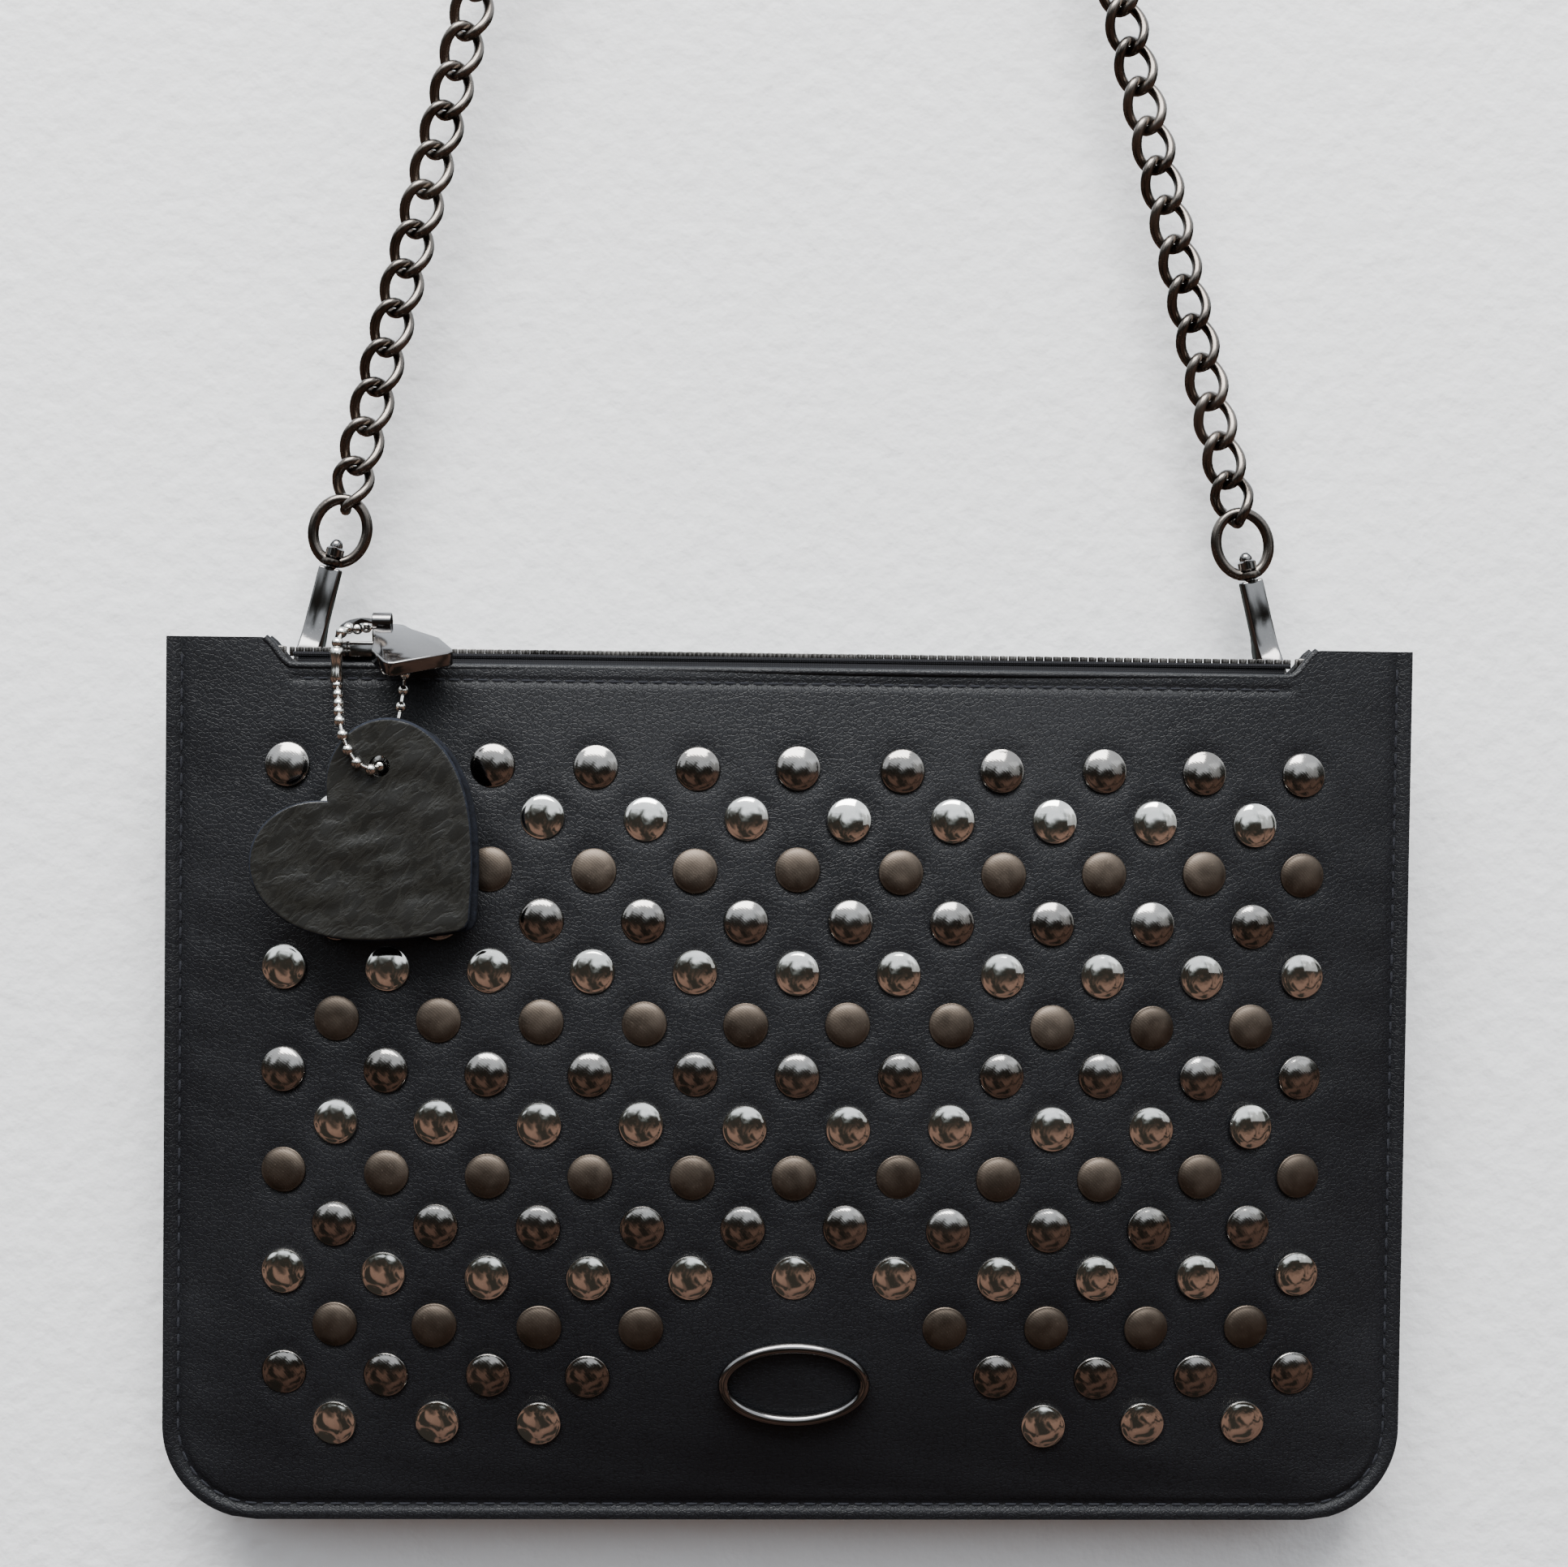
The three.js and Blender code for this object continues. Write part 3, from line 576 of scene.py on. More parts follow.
def leather_finish(name, color, scale=1150.0, depth=0.00011, rough=(0.42, 0.54), rub=0.30):
    """Semi-matte dyed leather: pebbled, with rubbed places and painted shade darkening the creases."""
    material, shade, place, shader = start_material(name)
    grain = use_group(shade, "Pebble Grain", place, Scale=scale)
    wear = use_group(shade, "Wear", place, Scale=45.0, Amount=rub)
    haze = use_group(shade, "Haze", place, Scale=28.0)
    worn = shade.mix(wear["Mask"], rgb(color), rgb(color, 1.7))
    clouded = shade.mix(haze["Mask"], rgb(color, 0.82), worn)
    # painted shade: the grain's creases get half the colour
    tone = shade.mix(grain["Shade"], rgb(color, 0.5), clouded)
    roughness = shade.remap(haze["Mask"], 0.0, 1.0, rough[0], rough[1])
    normal = shade.bump(grain["Height"], 0.45, depth)
    connect(shade, shader, Base_Color=tone, Roughness=roughness, Normal=normal)
    connect(shade, shader, Specular_IOR_Level=0.28)
    return material


def glazed_finish(name, color):
    """Waxed and crinkled skin of the charm."""
    material, shade, place, shader = start_material(name)
    crinkle = use_group(shade, "Crinkle", place, Scale=480.0)
    haze = use_group(shade, "Haze", place, Scale=70.0)
    wear = use_group(shade, "Wear", place, Scale=120.0, Amount=0.32)
    tone = shade.mix(crinkle["Shade"], rgb(color, 1.8), rgb(color))
    tone = shade.mix(wear["Mask"], tone, rgb(color, 1.5))
    roughness = shade.remap(haze["Mask"], 0.0, 1.0, 0.34, 0.48)
    normal = shade.bump(crinkle["Height"], 0.3, 0.00016)
    connect(shade, shader, Base_Color=tone, Roughness=roughness, Normal=normal)
    connect(shade, shader, Specular_IOR_Level=0.38)
    return material


def metal_finish(name, color, dark, rough, brushing=0.0, wear_amount=0.3, scale=90.0):
    """Plated metal with a cloudy polish, small rubs and, if asked, fine brushing."""
    material, shade, place, shader = start_material(name)
    haze = use_group(shade, "Haze", place, Scale=scale)
    wear = use_group(shade, "Wear", place, Scale=scale * 3, Amount=wear_amount)
    tone = shade.mix(haze["Mask"], rgb(dark), rgb(color))
    tone = shade.mix(wear["Mask"], tone, rgb(color, 1.12))
    roughness = shade.remap(haze["Mask"], 0.0, 1.0, rough[0], rough[1])
    rubbed = shade.math("MULTIPLY", wear["Mask"], 0.06)
    roughness = shade.math("ADD", roughness, rubbed)
    connect(shade, shader, Base_Color=tone, Roughness=roughness, Metallic=1.0)
    if brushing > 0:
        lines = use_group(shade, "Brushing", place, Scale=900.0)
        connect(shade, shader, Normal=shade.bump(lines["Height"], brushing, 0.00003))
    else:
        connect(shade, shader, Normal=shade.bump(haze["Mask"], 0.04, 0.0002))
    return material


def woven_finish(name, color, scale=520.0):
    """Matt synthetic weave, with painted shade and light over its threads."""
    material, shade, place, shader = start_material(name)
    weave = use_group(shade, "Weave", place, Scale=scale)
    haze = use_group(shade, "Haze", place, Scale=60.0)
    # painted shade and light: darker where the weave lies low, lighter on the raised threads
    tone = shade.mix(weave["Shade"], rgb(color, 0.45), rgb(color, 1.5))
    tone = shade.mix(haze["Mask"], rgb(color, 0.8), tone)
    roughness = shade.remap(weave["Shade"], 0.0, 1.0, 0.95, 0.7)
    normal = shade.bump(weave["Height"], 0.7, 0.0002)
    connect(shade, shader, Base_Color=tone, Roughness=roughness, Normal=normal)
    connect(shade, shader, Specular_IOR_Level=0.25)
    return material


def painted_edge_finish(name, color):
    """Thick edge paint with a low uneven gloss."""
    material, shade, place, shader = start_material(name)
    haze = use_group(shade, "Haze", place, Scale=240.0)
    wear = use_group(shade, "Wear", place, Scale=160.0, Amount=0.3)
    tone = shade.mix(wear["Mask"], rgb(color), rgb(color, 1.9))
    roughness = shade.remap(haze["Mask"], 0.0, 1.0, 0.38, 0.6)
    normal = shade.bump(haze["Mask"], 0.25, 0.0003)
    connect(shade, shader, Base_Color=tone, Roughness=roughness, Normal=normal)
    return material


def suede_finish(name, color):
    """Cut and split skin: fibrous, without gloss."""
    material, shade, place, shader = start_material(name)
    haze = use_group(shade, "Haze", place, Scale=500.0)
    wear = use_group(shade, "Wear", place, Scale=900.0, Amount=0.45)
    tone = shade.mix(haze["Mask"], rgb(color, 0.6), rgb(color, 1.4))
    tone = shade.mix(wear["Mask"], tone, rgb(color, 2.0))
    normal = shade.bump(haze["Mask"], 0.6, 0.0002)
    connect(shade, shader, Base_Color=tone, Normal=normal, Roughness=0.85, Specular_IOR_Level=0.2)
    return material


def plaster_finish(name, color):
    """Pale plaster, clear from its back and to light that bounces, so that it hides nothing."""
    material, shade, place, shader = start_material(name)
    haze = use_group(shade, "Haze", place, Scale=7.0)
    wear = use_group(shade, "Wear", place, Scale=11.0, Amount=0.25)
    tone = shade.mix(haze["Mask"], rgb(color), rgb(color, 0.965))
    tone = shade.mix(wear["Mask"], tone, rgb(color, 1.03))
    rough_coat = shade.noise(place, 240.0, 4.0)
    connect(shade, shader, Base_Color=tone, Normal=shade.bump(rough_coat, 0.45, 0.0012))
    connect(shade, shader, Roughness=0.9)
    clear = shade.node("ShaderNodeBsdfTransparent").outputs[0]
    back = shade.node("ShaderNodeNewGeometry").outputs["Backfacing"]
    unseen = shade.math("SUBTRACT", 1.0, shade.node("ShaderNodeLightPath").outputs["Is Camera Ray"])
    share = shade.math("MAXIMUM", back, unseen)
    choice = shade.node("ShaderNodeMixShader", {0: share, 1: shader.outputs[0], 2: clear})
    output = next(n for n in shade.tree.nodes if n.bl_idname == "ShaderNodeOutputMaterial")
    shade.tree.links.new(choice.outputs[0], output.inputs["Surface"])
    return material


FINISHES = {}


def build_finishes(colors):
    """Makes every finish, each under its short name."""
    FINISHES["panel"] = leather_finish("Panel Leather", colors.leather)
    FINISHES["trim"] = leather_finish(
        "Trim Leather", [c * 0.8 for c in colors.leather], 1500.0, 0.0001, (0.36, 0.5), 0.36
    )
    FINISHES["edge"] = painted_edge_finish("Edge Paint", (0.016, 0.019, 0.034))
    FINISHES["lining"] = woven_finish("Lining Cloth", (0.016, 0.017, 0.020), 420.0)
    FINISHES["tape"] = woven_finish("Zip Tape", (0.008, 0.008, 0.010), 700.0)
    FINISHES["thread"] = woven_finish("Seam Thread", (0.026, 0.027, 0.034), 1500.0)
    FINISHES["zip"] = metal_finish("Zip Metal", (0.22, 0.205, 0.19), (0.06, 0.055, 0.05), (0.16, 0.3))
    FINISHES["gunmetal"] = metal_finish(
        "Mirror Gunmetal", colors.gunmetal, [c * 0.8 for c in colors.gunmetal], (0.07, 0.15)
    )
    FINISHES["chain"] = metal_finish(
        "Chain Gunmetal", colors.chain, [c * 0.55 for c in colors.chain], (0.17, 0.3)
    )
    FINISHES["stud_gunmetal"] = metal_finish(
        "Stud Gunmetal", (0.29, 0.275, 0.26), (0.21, 0.195, 0.18), (0.10, 0.16), brushing=0.12
    )
    FINISHES["stud_nickel"] = metal_finish(
        "Stud Nickel", (0.72, 0.70, 0.66), (0.60, 0.58, 0.54), (0.05, 0.10)
    )
    FINISHES["stud_brass"] = metal_finish(
        "Stud Brass", colors.brass, [c * 0.72 for c in colors.brass], (0.40, 0.52),
        brushing=0.2, wear_amount=0.38, scale=240.0,
    )
    FINISHES["nickel"] = metal_finish(
        "Ball Chain Nickel", (0.75, 0.73, 0.68), (0.5, 0.48, 0.45), (0.08, 0.18)
    )
    FINISHES["spring"] = metal_finish("Spring Steel", (0.5, 0.5, 0.5), (0.3, 0.3, 0.3), (0.25, 0.4))
    FINISHES["charm"] = glazed_finish("Charm Leather", colors.charm)
    FINISHES["suede"] = suede_finish("Charm Backing", (0.0045, 0.0055, 0.009))
    FINISHES["cut"] = suede_finish("Charm Cut Edge", (0.009, 0.011, 0.017))
    FINISHES["plaster"] = plaster_finish("Pale Plaster", colors.plaster)


# ---- Strap ---------------------------------------------------------------------------------
ARC_RADIUS = PEG_RADIUS + 4.35
ARC_HALF_LENGTH = ARC_RADIUS * (math.pi / 2 - ARM_LEAN)


def along_strap(length):
    """Where a length along the strap lies, and the strap's direction there."""
    bent = max(-ARC_HALF_LENGTH, min(ARC_HALF_LENGTH, length))
    angle = bent / ARC_RADIUS
    straight = length - bent
    x = ARC_RADIUS * math.sin(angle) + straight * math.cos(angle)
    z = ARC_RADIUS * math.cos(angle) - PEG_RADIUS - straight * math.sin(angle)
    return Vector((x, 0, z)), Vector((math.cos(angle), 0, -math.sin(angle)))


def strap_place(length):
    position, forward = along_strap(length)
    return facing(position, forward, Vector((0, 1, 0)))


def link_path(start_twist, end_twist, steps=36):
    """The wire of one curb link: an oval whose plane turns from one end to the other."""
    path = []
    for k in range(steps):
        u = 2 * math.pi * k / steps
        z = LINK_HALF_LENGTH * math.sin(u)
        flat = abs(math.cos(u)) ** 0.8 * (1 if math.cos(u) >= 0 else -1)
        x = LINK_HALF_WIDTH * flat
        share = (z / LINK_HALF_LENGTH + 1) / 2
        twist = start_twist + (end_twist - start_twist) * share
        path.append(Vector((x * math.cos(twist), x * math.sin(twist), z)))
    return path


def add_link(heap, index):
    quarter = math.pi / 4
    start = -2 * quarter if index == 0 else -quarter
    end = 2 * quarter if index == LINK_TOTAL - 1 else quarter
    points, faces = tube(link_path(start, end), LINK_WIRE, 12, closed=True)
    length = (index - (LINK_TOTAL - 1) / 2) * LINK_PITCH
    heap.add(points, faces, strap_place(length))


def build_chain():
    """The links, in one piece for each stretch that moves as one."""
    top = LINKS_PER_ARM + LINKS_OVER_PEG
    stretches = {
        "chain_left_lower": (0, LOWER_LINKS, "left_lower_chain"),
        "chain_left_upper": (LOWER_LINKS, LINKS_PER_ARM, "left_upper_chain"),
        "chain_top": (LINKS_PER_ARM, top, "strap_top"),
        "chain_right_upper": (top, LINK_TOTAL - LOWER_LINKS, "right_upper_chain"),
        "chain_right_lower": (LINK_TOTAL - LOWER_LINKS, LINK_TOTAL, "right_lower_chain"),
    }
    for node, (first, end, body) in stretches.items():
        heap = Heap()
        for index in range(first, end):
            add_link(heap, index)
        piece(f"links_{node[6:]}", heap, [FINISHES["chain"]], body, [node])


# ---- Swivel hooks --------------------------------------------------------------------------
def hook_place(side):
    """From a hook's own frame, Z along the strap's arm, to the part's."""
    position, _ = along_strap(side * BOW_MIDDLE)
    return Matrix.Translation(position) @ Matrix.Rotation(-side * ARM_LEAN, 4, "Y")


SIDEWAYS = Matrix(((0, 0, 1, 0), (1, 0, 0, 0), (0, 1, 0, 0), (0, 0, 0, 1)))


def swivel_ring():
    heap = Heap()
    path = []
    for k in range(48):
        u = 2 * math.pi * k / 48
        x, z = RING_HALF_WIDTH * math.cos(u), RING_HALF_HEIGHT * math.sin(u)
        path.append(Vector((x, 0, HOOK_LENGTH + RING_HALF_HEIGHT + z)))
    heap.add(*tube(path, RING_WIRE, 14, closed=True))
    boss = [(0, -0.85), (1.6, -0.85), (2.35, -0.6), (2.5, 0), (2.35, 0.6), (1.6, 0.85), (0, 0.85)]
    heap.add(*lathe(boss, 24), Matrix.Translation((0, 0, HOOK_LENGTH)))
    return heap


def hook_outline():
    top = HOOK_LENGTH - 1.15
    outline = [(-2.0, top), (-2.15, 20), (-2.4, 14), (-3.4, 11.6), (-4.5, 9.2), (-4.7, 7)]
    outline += arc(0, 0, 4.7, math.pi, 2 * math.pi, 20)
    outline += [(4.7, 2.4), (2.75, 2.4)]
    outline += arc(0, 0, 2.75, 0, -math.pi, 16)
    outline += [(-2.7, 7.6), (-1.8, 9.2), (0.9, 10), (4.4, 10), (4.7, 11.4), (4.3, 13)]
    outline += [(3.2, 14.6), (2.4, 16), (2.15, 20), (2.0, top)]
    return outline


def hook_body():
    heap = Heap()
    half = HOOK_THICKNESS / 2
    heap.add(*plate(hook_outline(), -half, half, 0.45, 3), SIDEWAYS)
    collar = [(0, -1.9), (1.9, -1.9), (2.25, -1.65), (2.25, -1.35), (1.9, -1.15), (0.95, -1.15)]
    head = [(0.95, 1.1), (1.75, 1.1), (1.85, 1.25), (1.85, 2.7), (1.6, 2.95), (1.3, 3.1)]
    dome = [(1.3, 3.6), (1.05, 4.2), (0.6, 4.65), (0, 4.8)]
    heap.add(*lathe(collar + head + dome, 24), Matrix.Translation((0, 0, HOOK_LENGTH)))
    return heap


def hook_gate():
    outline = [(2.75, 2.75), (4.2, 2.75), (4.5, 5), (4.7, 8), (4.7, 11.2), (4.4, 12.4)]
    outline += [(3.6, 12.7), (2.8, 12.4), (2.3, 11.8), (2.5, 10.4), (2.75, 9)]
    return Heap().add(*plate(outline, -1.1, 1.1, 0.25, 3), SIDEWAYS)


def place_all(heap, place):
    heap.points = [place @ point for point in heap.points]
    return heap


def build_hooks():
    metal = [FINISHES["gunmetal"]]
    for side, name in ((-1, "left"), (1, "right")):
        place = hook_place(side)
        ring = place_all(swivel_ring(), place)
        piece(
            f"ring_{name}", ring, [FINISHES["chain"]], f"{name}_ring",
            [f"swivel_ring_{name}"],
        )
        body = place_all(hook_body(), place)
        piece(f"hook_{name}", body, metal, f"{name}_hook", [f"hook_body_{name}"], 30)
        gate = place_all(hook_gate(), place)
        piece(f"gate_{name}", gate, metal, f"{name}_gate", [f"hook_gate_{name}"], 30)
        carry(f"gate_pin_{name}", FINISHES["gunmetal"])
        carry(f"gate_spring_{name}", FINISHES["spring"])


def carry(node, material):
    """Keeps a CAD node and gives it its finish."""
    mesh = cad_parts[node].data
    mesh.materials.clear()
    mesh.materials.append(material)


# ---- Pouch panels --------------------------------------------------------------------------
def bulge_at(x, height):
    across = np.abs(x) / (WIDTH / 2 - FLANGE)
    up = np.clip((height - FLANGE) / (HEIGHT - FLANGE), 0, 1)
    below = 1 - np.maximum(0, (FULLEST - up) / FULLEST) ** 2.4
    above = (1 - MOUTH_BULGE) * np.maximum(0, (up - FULLEST) / (1 - FULLEST)) ** 2
    return BULGE * np.maximum(0, 1 - across ** 3) * (below - above)


def face_depth(x, height, front):
    bulge = bulge_at(x, height)
    return SEAM_HALF + LEATHER + (bulge if front else np.minimum(bulge, BACK_BULGE))


def half_width_at(height):
    down = np.maximum(0, CORNER_RADIUS - height)
    return WIDTH / 2 - CORNER_RADIUS + np.sqrt(np.maximum(0, CORNER_RADIUS ** 2 - down ** 2))


def smooth_step(share):
    share = np.clip(share, 0, 1)
    return share * share * (3 - 2 * share)


def top_edge(x):
    rise = smooth_step((np.abs(x) - MOUTH_END) / (LAND_START - MOUTH_END))
    return MOUTH_HEIGHT + (HEIGHT - MOUTH_HEIGHT) * rise


def outline_distance(x, height):
    """How far inside the side and bottom edges a place is."""
    corner_x = np.maximum(0, np.abs(x) - (WIDTH / 2 - CORNER_RADIUS))
    corner_h = np.maximum(0, CORNER_RADIUS - height)
    in_corner = CORNER_RADIUS - np.hypot(corner_x, corner_h)
    straight = np.minimum(WIDTH / 2 - np.abs(x), height)
    return np.where((corner_x > 0) & (corner_h > 0), in_corner, straight)


def stud_columns(row):
    """Where the studs of a row are across, leaving the emblem's field open."""
    reach = 4.5 if row % 2 == 0 else 5.0
    columns = [(-reach + i) * STUD_PITCH for i in range(int(2 * reach) + 1)]
    field = 31 if row == 14 else 21 if row >= 12 else -1
    return [x + GRID_CENTRE for x in columns if abs(x) > field]


def stud_height(row):
    return TOP_ROW - ROW_PITCH * (row - 1)


def puckers(x, height):
    """Small folds that run in from the side and bottom seams and die away."""
    inside = outline_distance(x, height)
    wave = np.sin(height / 2.3 + 2.1 * np.sin(height / 17.0) + x * 0.09)
    wave += 0.6 * np.sin(height / 5.1 + 1.3 + np.sign(x) * 0.8)
    fade = np.exp(-np.maximum(0, inside - 5) / 9.0) * smooth_step((inside - 3.6) / 3.0)
    slow = np.sin(x / 31.0 + height / 47.0) + np.sin(x / 19.0 - height / 36.0 + 1.7)
    return 0.11 * wave * fade + 0.16 * slow * smooth_step((inside - 8) / 20)


def seam_grooves(x, height):
    """The shallow lines that the stitches pull into the leather."""
    inside = outline_distance(x, height)
    edge_seam = np.exp(-((inside - 3.0) / 0.85) ** 2)
    mouth = np.exp(-((height - (top_edge(x) - 2.6)) / 0.6) ** 2) * (np.abs(x) < MOUTH_END)
    shoulder = 0.35 * np.exp(-((inside - 1.4) / 1.1) ** 2)
    return -0.6 * edge_seam - 0.34 * mouth + shoulder * 0.6


def dimples(x, height):
    """The leather is drawn in where each stud is set."""
    sunk = np.zeros_like(x)
    for row in range(1, STUD_ROWS + 1):
        for column in stud_columns(row):
            apart = np.hypot(x - column, height - stud_height(row))
            sunk += -0.42 * np.exp(-(apart / 5.4) ** 4)
    return sunk


def panel_heights(x, rows):
    """Heights from the bottom edge to the top edge, closer together round the corner."""
    share = np.linspace(0, 1, rows)
    base = HEIGHT * (share + 0.35 * share * (1 - share) * (share - 1) * 0.6)
    over = np.maximum(0, base - SHARED_TOP) / (HEIGHT - SHARED_TOP)
    return np.where(base <= SHARED_TOP, base, SHARED_TOP + over * (top_edge(x) - SHARED_TOP))


def panel_surface(front, columns, rows):
    """Grids of X, height and outer depth over one panel."""
    across = np.linspace(-1, 1, columns)
    across = across * (1.0 + 0.06 * (1 - across ** 2))
    xs = np.zeros((rows, columns))
    hs = np.zeros((rows, columns))
    for c, share in enumerate(across):
        hs[:, c] = panel_heights(share * WIDTH / 2, rows)
        xs[:, c] = share * half_width_at(hs[:, c])
    depth = face_depth(xs, hs, front) + puckers(xs, hs) + seam_grooves(xs, hs)
    if front:
        depth = depth + dimples(xs, hs)
    return xs, hs, depth


def panel_shell(front, columns=300, rows=210):
    """One panel as a closed sheet of leather, its cut edges closed by flat strips in the edge paint."""
    sign = -1 if front else 1
    xs, hs, depth = panel_surface(front, columns, rows)
    inner = face_depth(xs, hs, front) - LEATHER
    heap = Heap()
    heap.add(grid_points(xs, depth * sign, hs), grid_faces(rows, columns, 0), pouch_place())
    flipped = [tuple(reversed(face)) for face in grid_faces(rows, columns, 0)]
    heap.add(grid_points(xs, inner * sign, hs), flipped, pouch_place())
    border = border_indices(rows, columns)
    count = rows * columns
    for a, b in zip(border, border[1:] + border[:1]):
        heap.faces.append([a, b, b + count, a + count])
        heap.slots.append(1)
    return heap


def grid_points(xs, ys, zs):
    return list(zip(xs.ravel(), ys.ravel(), zs.ravel()))


def grid_faces(rows, columns, first):
    faces = []
    for row in range(rows - 1):
        for column in range(columns - 1):
            at = first + row * columns + column
            faces.append((at, at + 1, at + columns + 1, at + columns))
    return faces


def border_indices(rows, columns):
    bottom = list(range(columns))
    right = [row * columns + columns - 1 for row in range(1, rows)]
    top = [(rows - 1) * columns + column for column in range(columns - 2, -1, -1)]
    left = [row * columns for row in range(rows - 2, 0, -1)]
    return bottom + right + top + left


def edge_outline(step, inset=0.0):
    """The panels' outline from one top corner down, along the bottom and up, set in by inset."""
    radius = CORNER_RADIUS - inset
    side = WIDTH / 2 - inset
    spots = [(-side, HEIGHT - inset), (-side, CORNER_RADIUS)]
    spots += arc(-side + radius, CORNER_RADIUS, radius, math.pi, 1.5 * math.pi, 16)
    spots += arc(side - radius, CORNER_RADIUS, radius, 1.5 * math.pi, 2 * math.pi, 16)
    spots += [(side, CORNER_RADIUS), (side, HEIGHT - inset)]
    return even_points([Vector((x, 0, z)) for x, z in spots], step)


def painted_edge():
    """The thick painted edge that joins the two panels round the sides and bottom."""
    heap = Heap()
    half = SEAM_HALF + LEATHER
    section = [(0.5, -half + 0.25), (0.12, -half + 0.1), (-0.12, -half * 0.6), (-0.28, 0)]
    section += [(-0.12, half * 0.6), (0.12, half - 0.1), (0.5, half - 0.25), (0.9, 0)]
    path = edge_outline(2.0)
    points = []
    for i, spot in enumerate(path):
        along = path[min(i + 1, len(path) - 1)] - path[max(i - 1, 0)]
        inward = Vector((-along.z, 0, along.x)).normalized()
        for inset, y in section:
            points.append(spot + inward * inset + Vector((0, y, 0)))
    faces = ring_faces(len(path), len(section))
    faces.append(tuple(range(len(section) - 1, -1, -1)))
    faces.append(tuple(range((len(path) - 1) * len(section), len(path) * len(section))))
    heap.add(points, faces, pouch_place())
    return heap


def stitch(length):
    """One thread stitch along X, its ends dipping into the leather."""
    half = length / 2
    path = [(-half, 0, -0.3), (-half * 0.8, 0, 0.02), (-half * 0.35, 0, 0.14)]
    path += [(half * 0.35, 0, 0.14), (half * 0.8, 0, 0.02), (half, 0, -0.3)]
    return tube(path, [0.16, 0.24, 0.27, 0.27, 0.24, 0.16], 6)


def panel_depth(x, height, front):
    """The made outer depth at one place, dimples left out."""
    xs, hs = np.array([float(x)]), np.array([float(height)])
    depth = face_depth(xs, hs, front) + puckers(xs, hs) + seam_grooves(xs, hs)
    return float(depth[0])


def add_seam(heap, path, front):
    """Stitches one after another along a path of X and height."""
    sign = -1 if front else 1
    for a, b in zip(path, path[1:]):
        start = Vector((a.x, sign * panel_depth(a.x, a.z, front), a.z))
        end = Vector((b.x, sign * panel_depth(b.x, b.z, front), b.z))
        along = (end - start).normalized()
        out = Vector((0, sign, 0))
        out = (out - along * out.dot(along)).normalized()
        across = out.cross(along)
        turn = Matrix((along, across, out)).transposed().to_4x4()
        place = pouch_place() @ Matrix.Translation((start + end) / 2) @ turn
        heap.add(*stitch((end - start).length * STITCH_FILL), place)


def mouth_curve(reach, below, step):
    """A line under the mouth's edge, turning up at both ends."""
    spots = []
    for x in np.linspace(-reach, reach, 240):
        spots.append(Vector((x, 0, float(top_edge(np.array([x]))[0]) - below)))
    return even_points(spots, step)


def build_panels():
    for name, front in (("front", True), ("back", False)):
        panel = panel_shell(front)
        piece(
            f"leather_{name}", panel, [FINISHES["panel"], FINISHES["edge"]], "pouch",
            [f"{name}_panel"], 50,
        )
        carry(f"{name}_lining", FINISHES["lining"])
    piece("edge_paint", painted_edge(), [FINISHES["edge"]], "pouch", (), 60)


def build_seams():
    for name, front in (("front", True), ("back", False)):
        heap = Heap()
        add_seam(heap, edge_outline(3.4, 3.0), front)
        add_seam(heap, mouth_curve(MOUTH_END - 2, 2.6, 2.9), front)
        piece(f"stitches_{name}", heap, [FINISHES["thread"]], "pouch", ())


def build_binding():
    """The rolled leather edge along both sides of the mouth."""
    for name, front in (("front", True), ("back", False)):
        sign = -1 if front else 1
        heap = Heap()
        path = []
        for spot in mouth_curve(LAND_START - 0.5, 0.1, 1.5):
            y = float(face_depth(np.array([spot.x]), np.array([spot.z]), front)[0]) - 0.62
            path.append(Vector((spot.x, sign * y, spot.z)))
        heap.add(*tube(path, ROLL_RADIUS, 10), pouch_place())
        piece(f"mouth_roll_{name}", heap, [FINISHES["trim"]], "pouch", ())


# ---- Zip -----------------------------------------------------------------------------------
TOOTH_PITCH = 1.8
TAPE_LIP = 1.95


def tooth():
    """One zip element, tapered towards its rounded head."""
    outline = [(-0.42, 0.15), (0.42, 0.15), (0.5, 0.9), (0.42, 1.6), (-0.42, 1.6), (-0.5, 0.9)]
    low = TEETH_TOP - TEETH_HEIGHT
    return plate(outline, low, TEETH_TOP, 0.16, 2)


def build_teeth():
    """Both rows of teeth, half a pitch apart, and the stops at their ends."""
    count = int(2 * ZIP_HALF_LENGTH / TOOTH_PITCH)
    made = tooth()
    for name, sign in (("front", -1), ("back", 1)):
        heap = Heap()
        for k in range(count):
            x = (k - (count - 1) / 2) * TOOTH_PITCH + sign * TOOTH_PITCH / 4
            place = pouch_place() @ Matrix.Translation((x, 0, 0)) @ Matrix.Diagonal((1, sign, 1, 1))
            heap.add(*made, place)
        piece(f"teeth_{name}", heap, [FINISHES["zip"]], "pouch", [f"zip_teeth_{name}"], 30)
    for side, name in ((-1, "left"), (1, "right")):
        near, far = ZIP_HALF_LENGTH + 0.3, ZIP_HALF_LENGTH + 2
        low = (min(side * near, side * far), -1.7, TEETH_TOP - TEETH_HEIGHT)
        high = (max(side * near, side * far), 1.7, TEETH_TOP + 0.2)
        heap = Heap().add(*block(low, high, 0.3), pouch_place())
        piece(f"stop_{name}", heap, [FINISHES["zip"]], "pouch", [f"zip_stop_{name}"], 30)


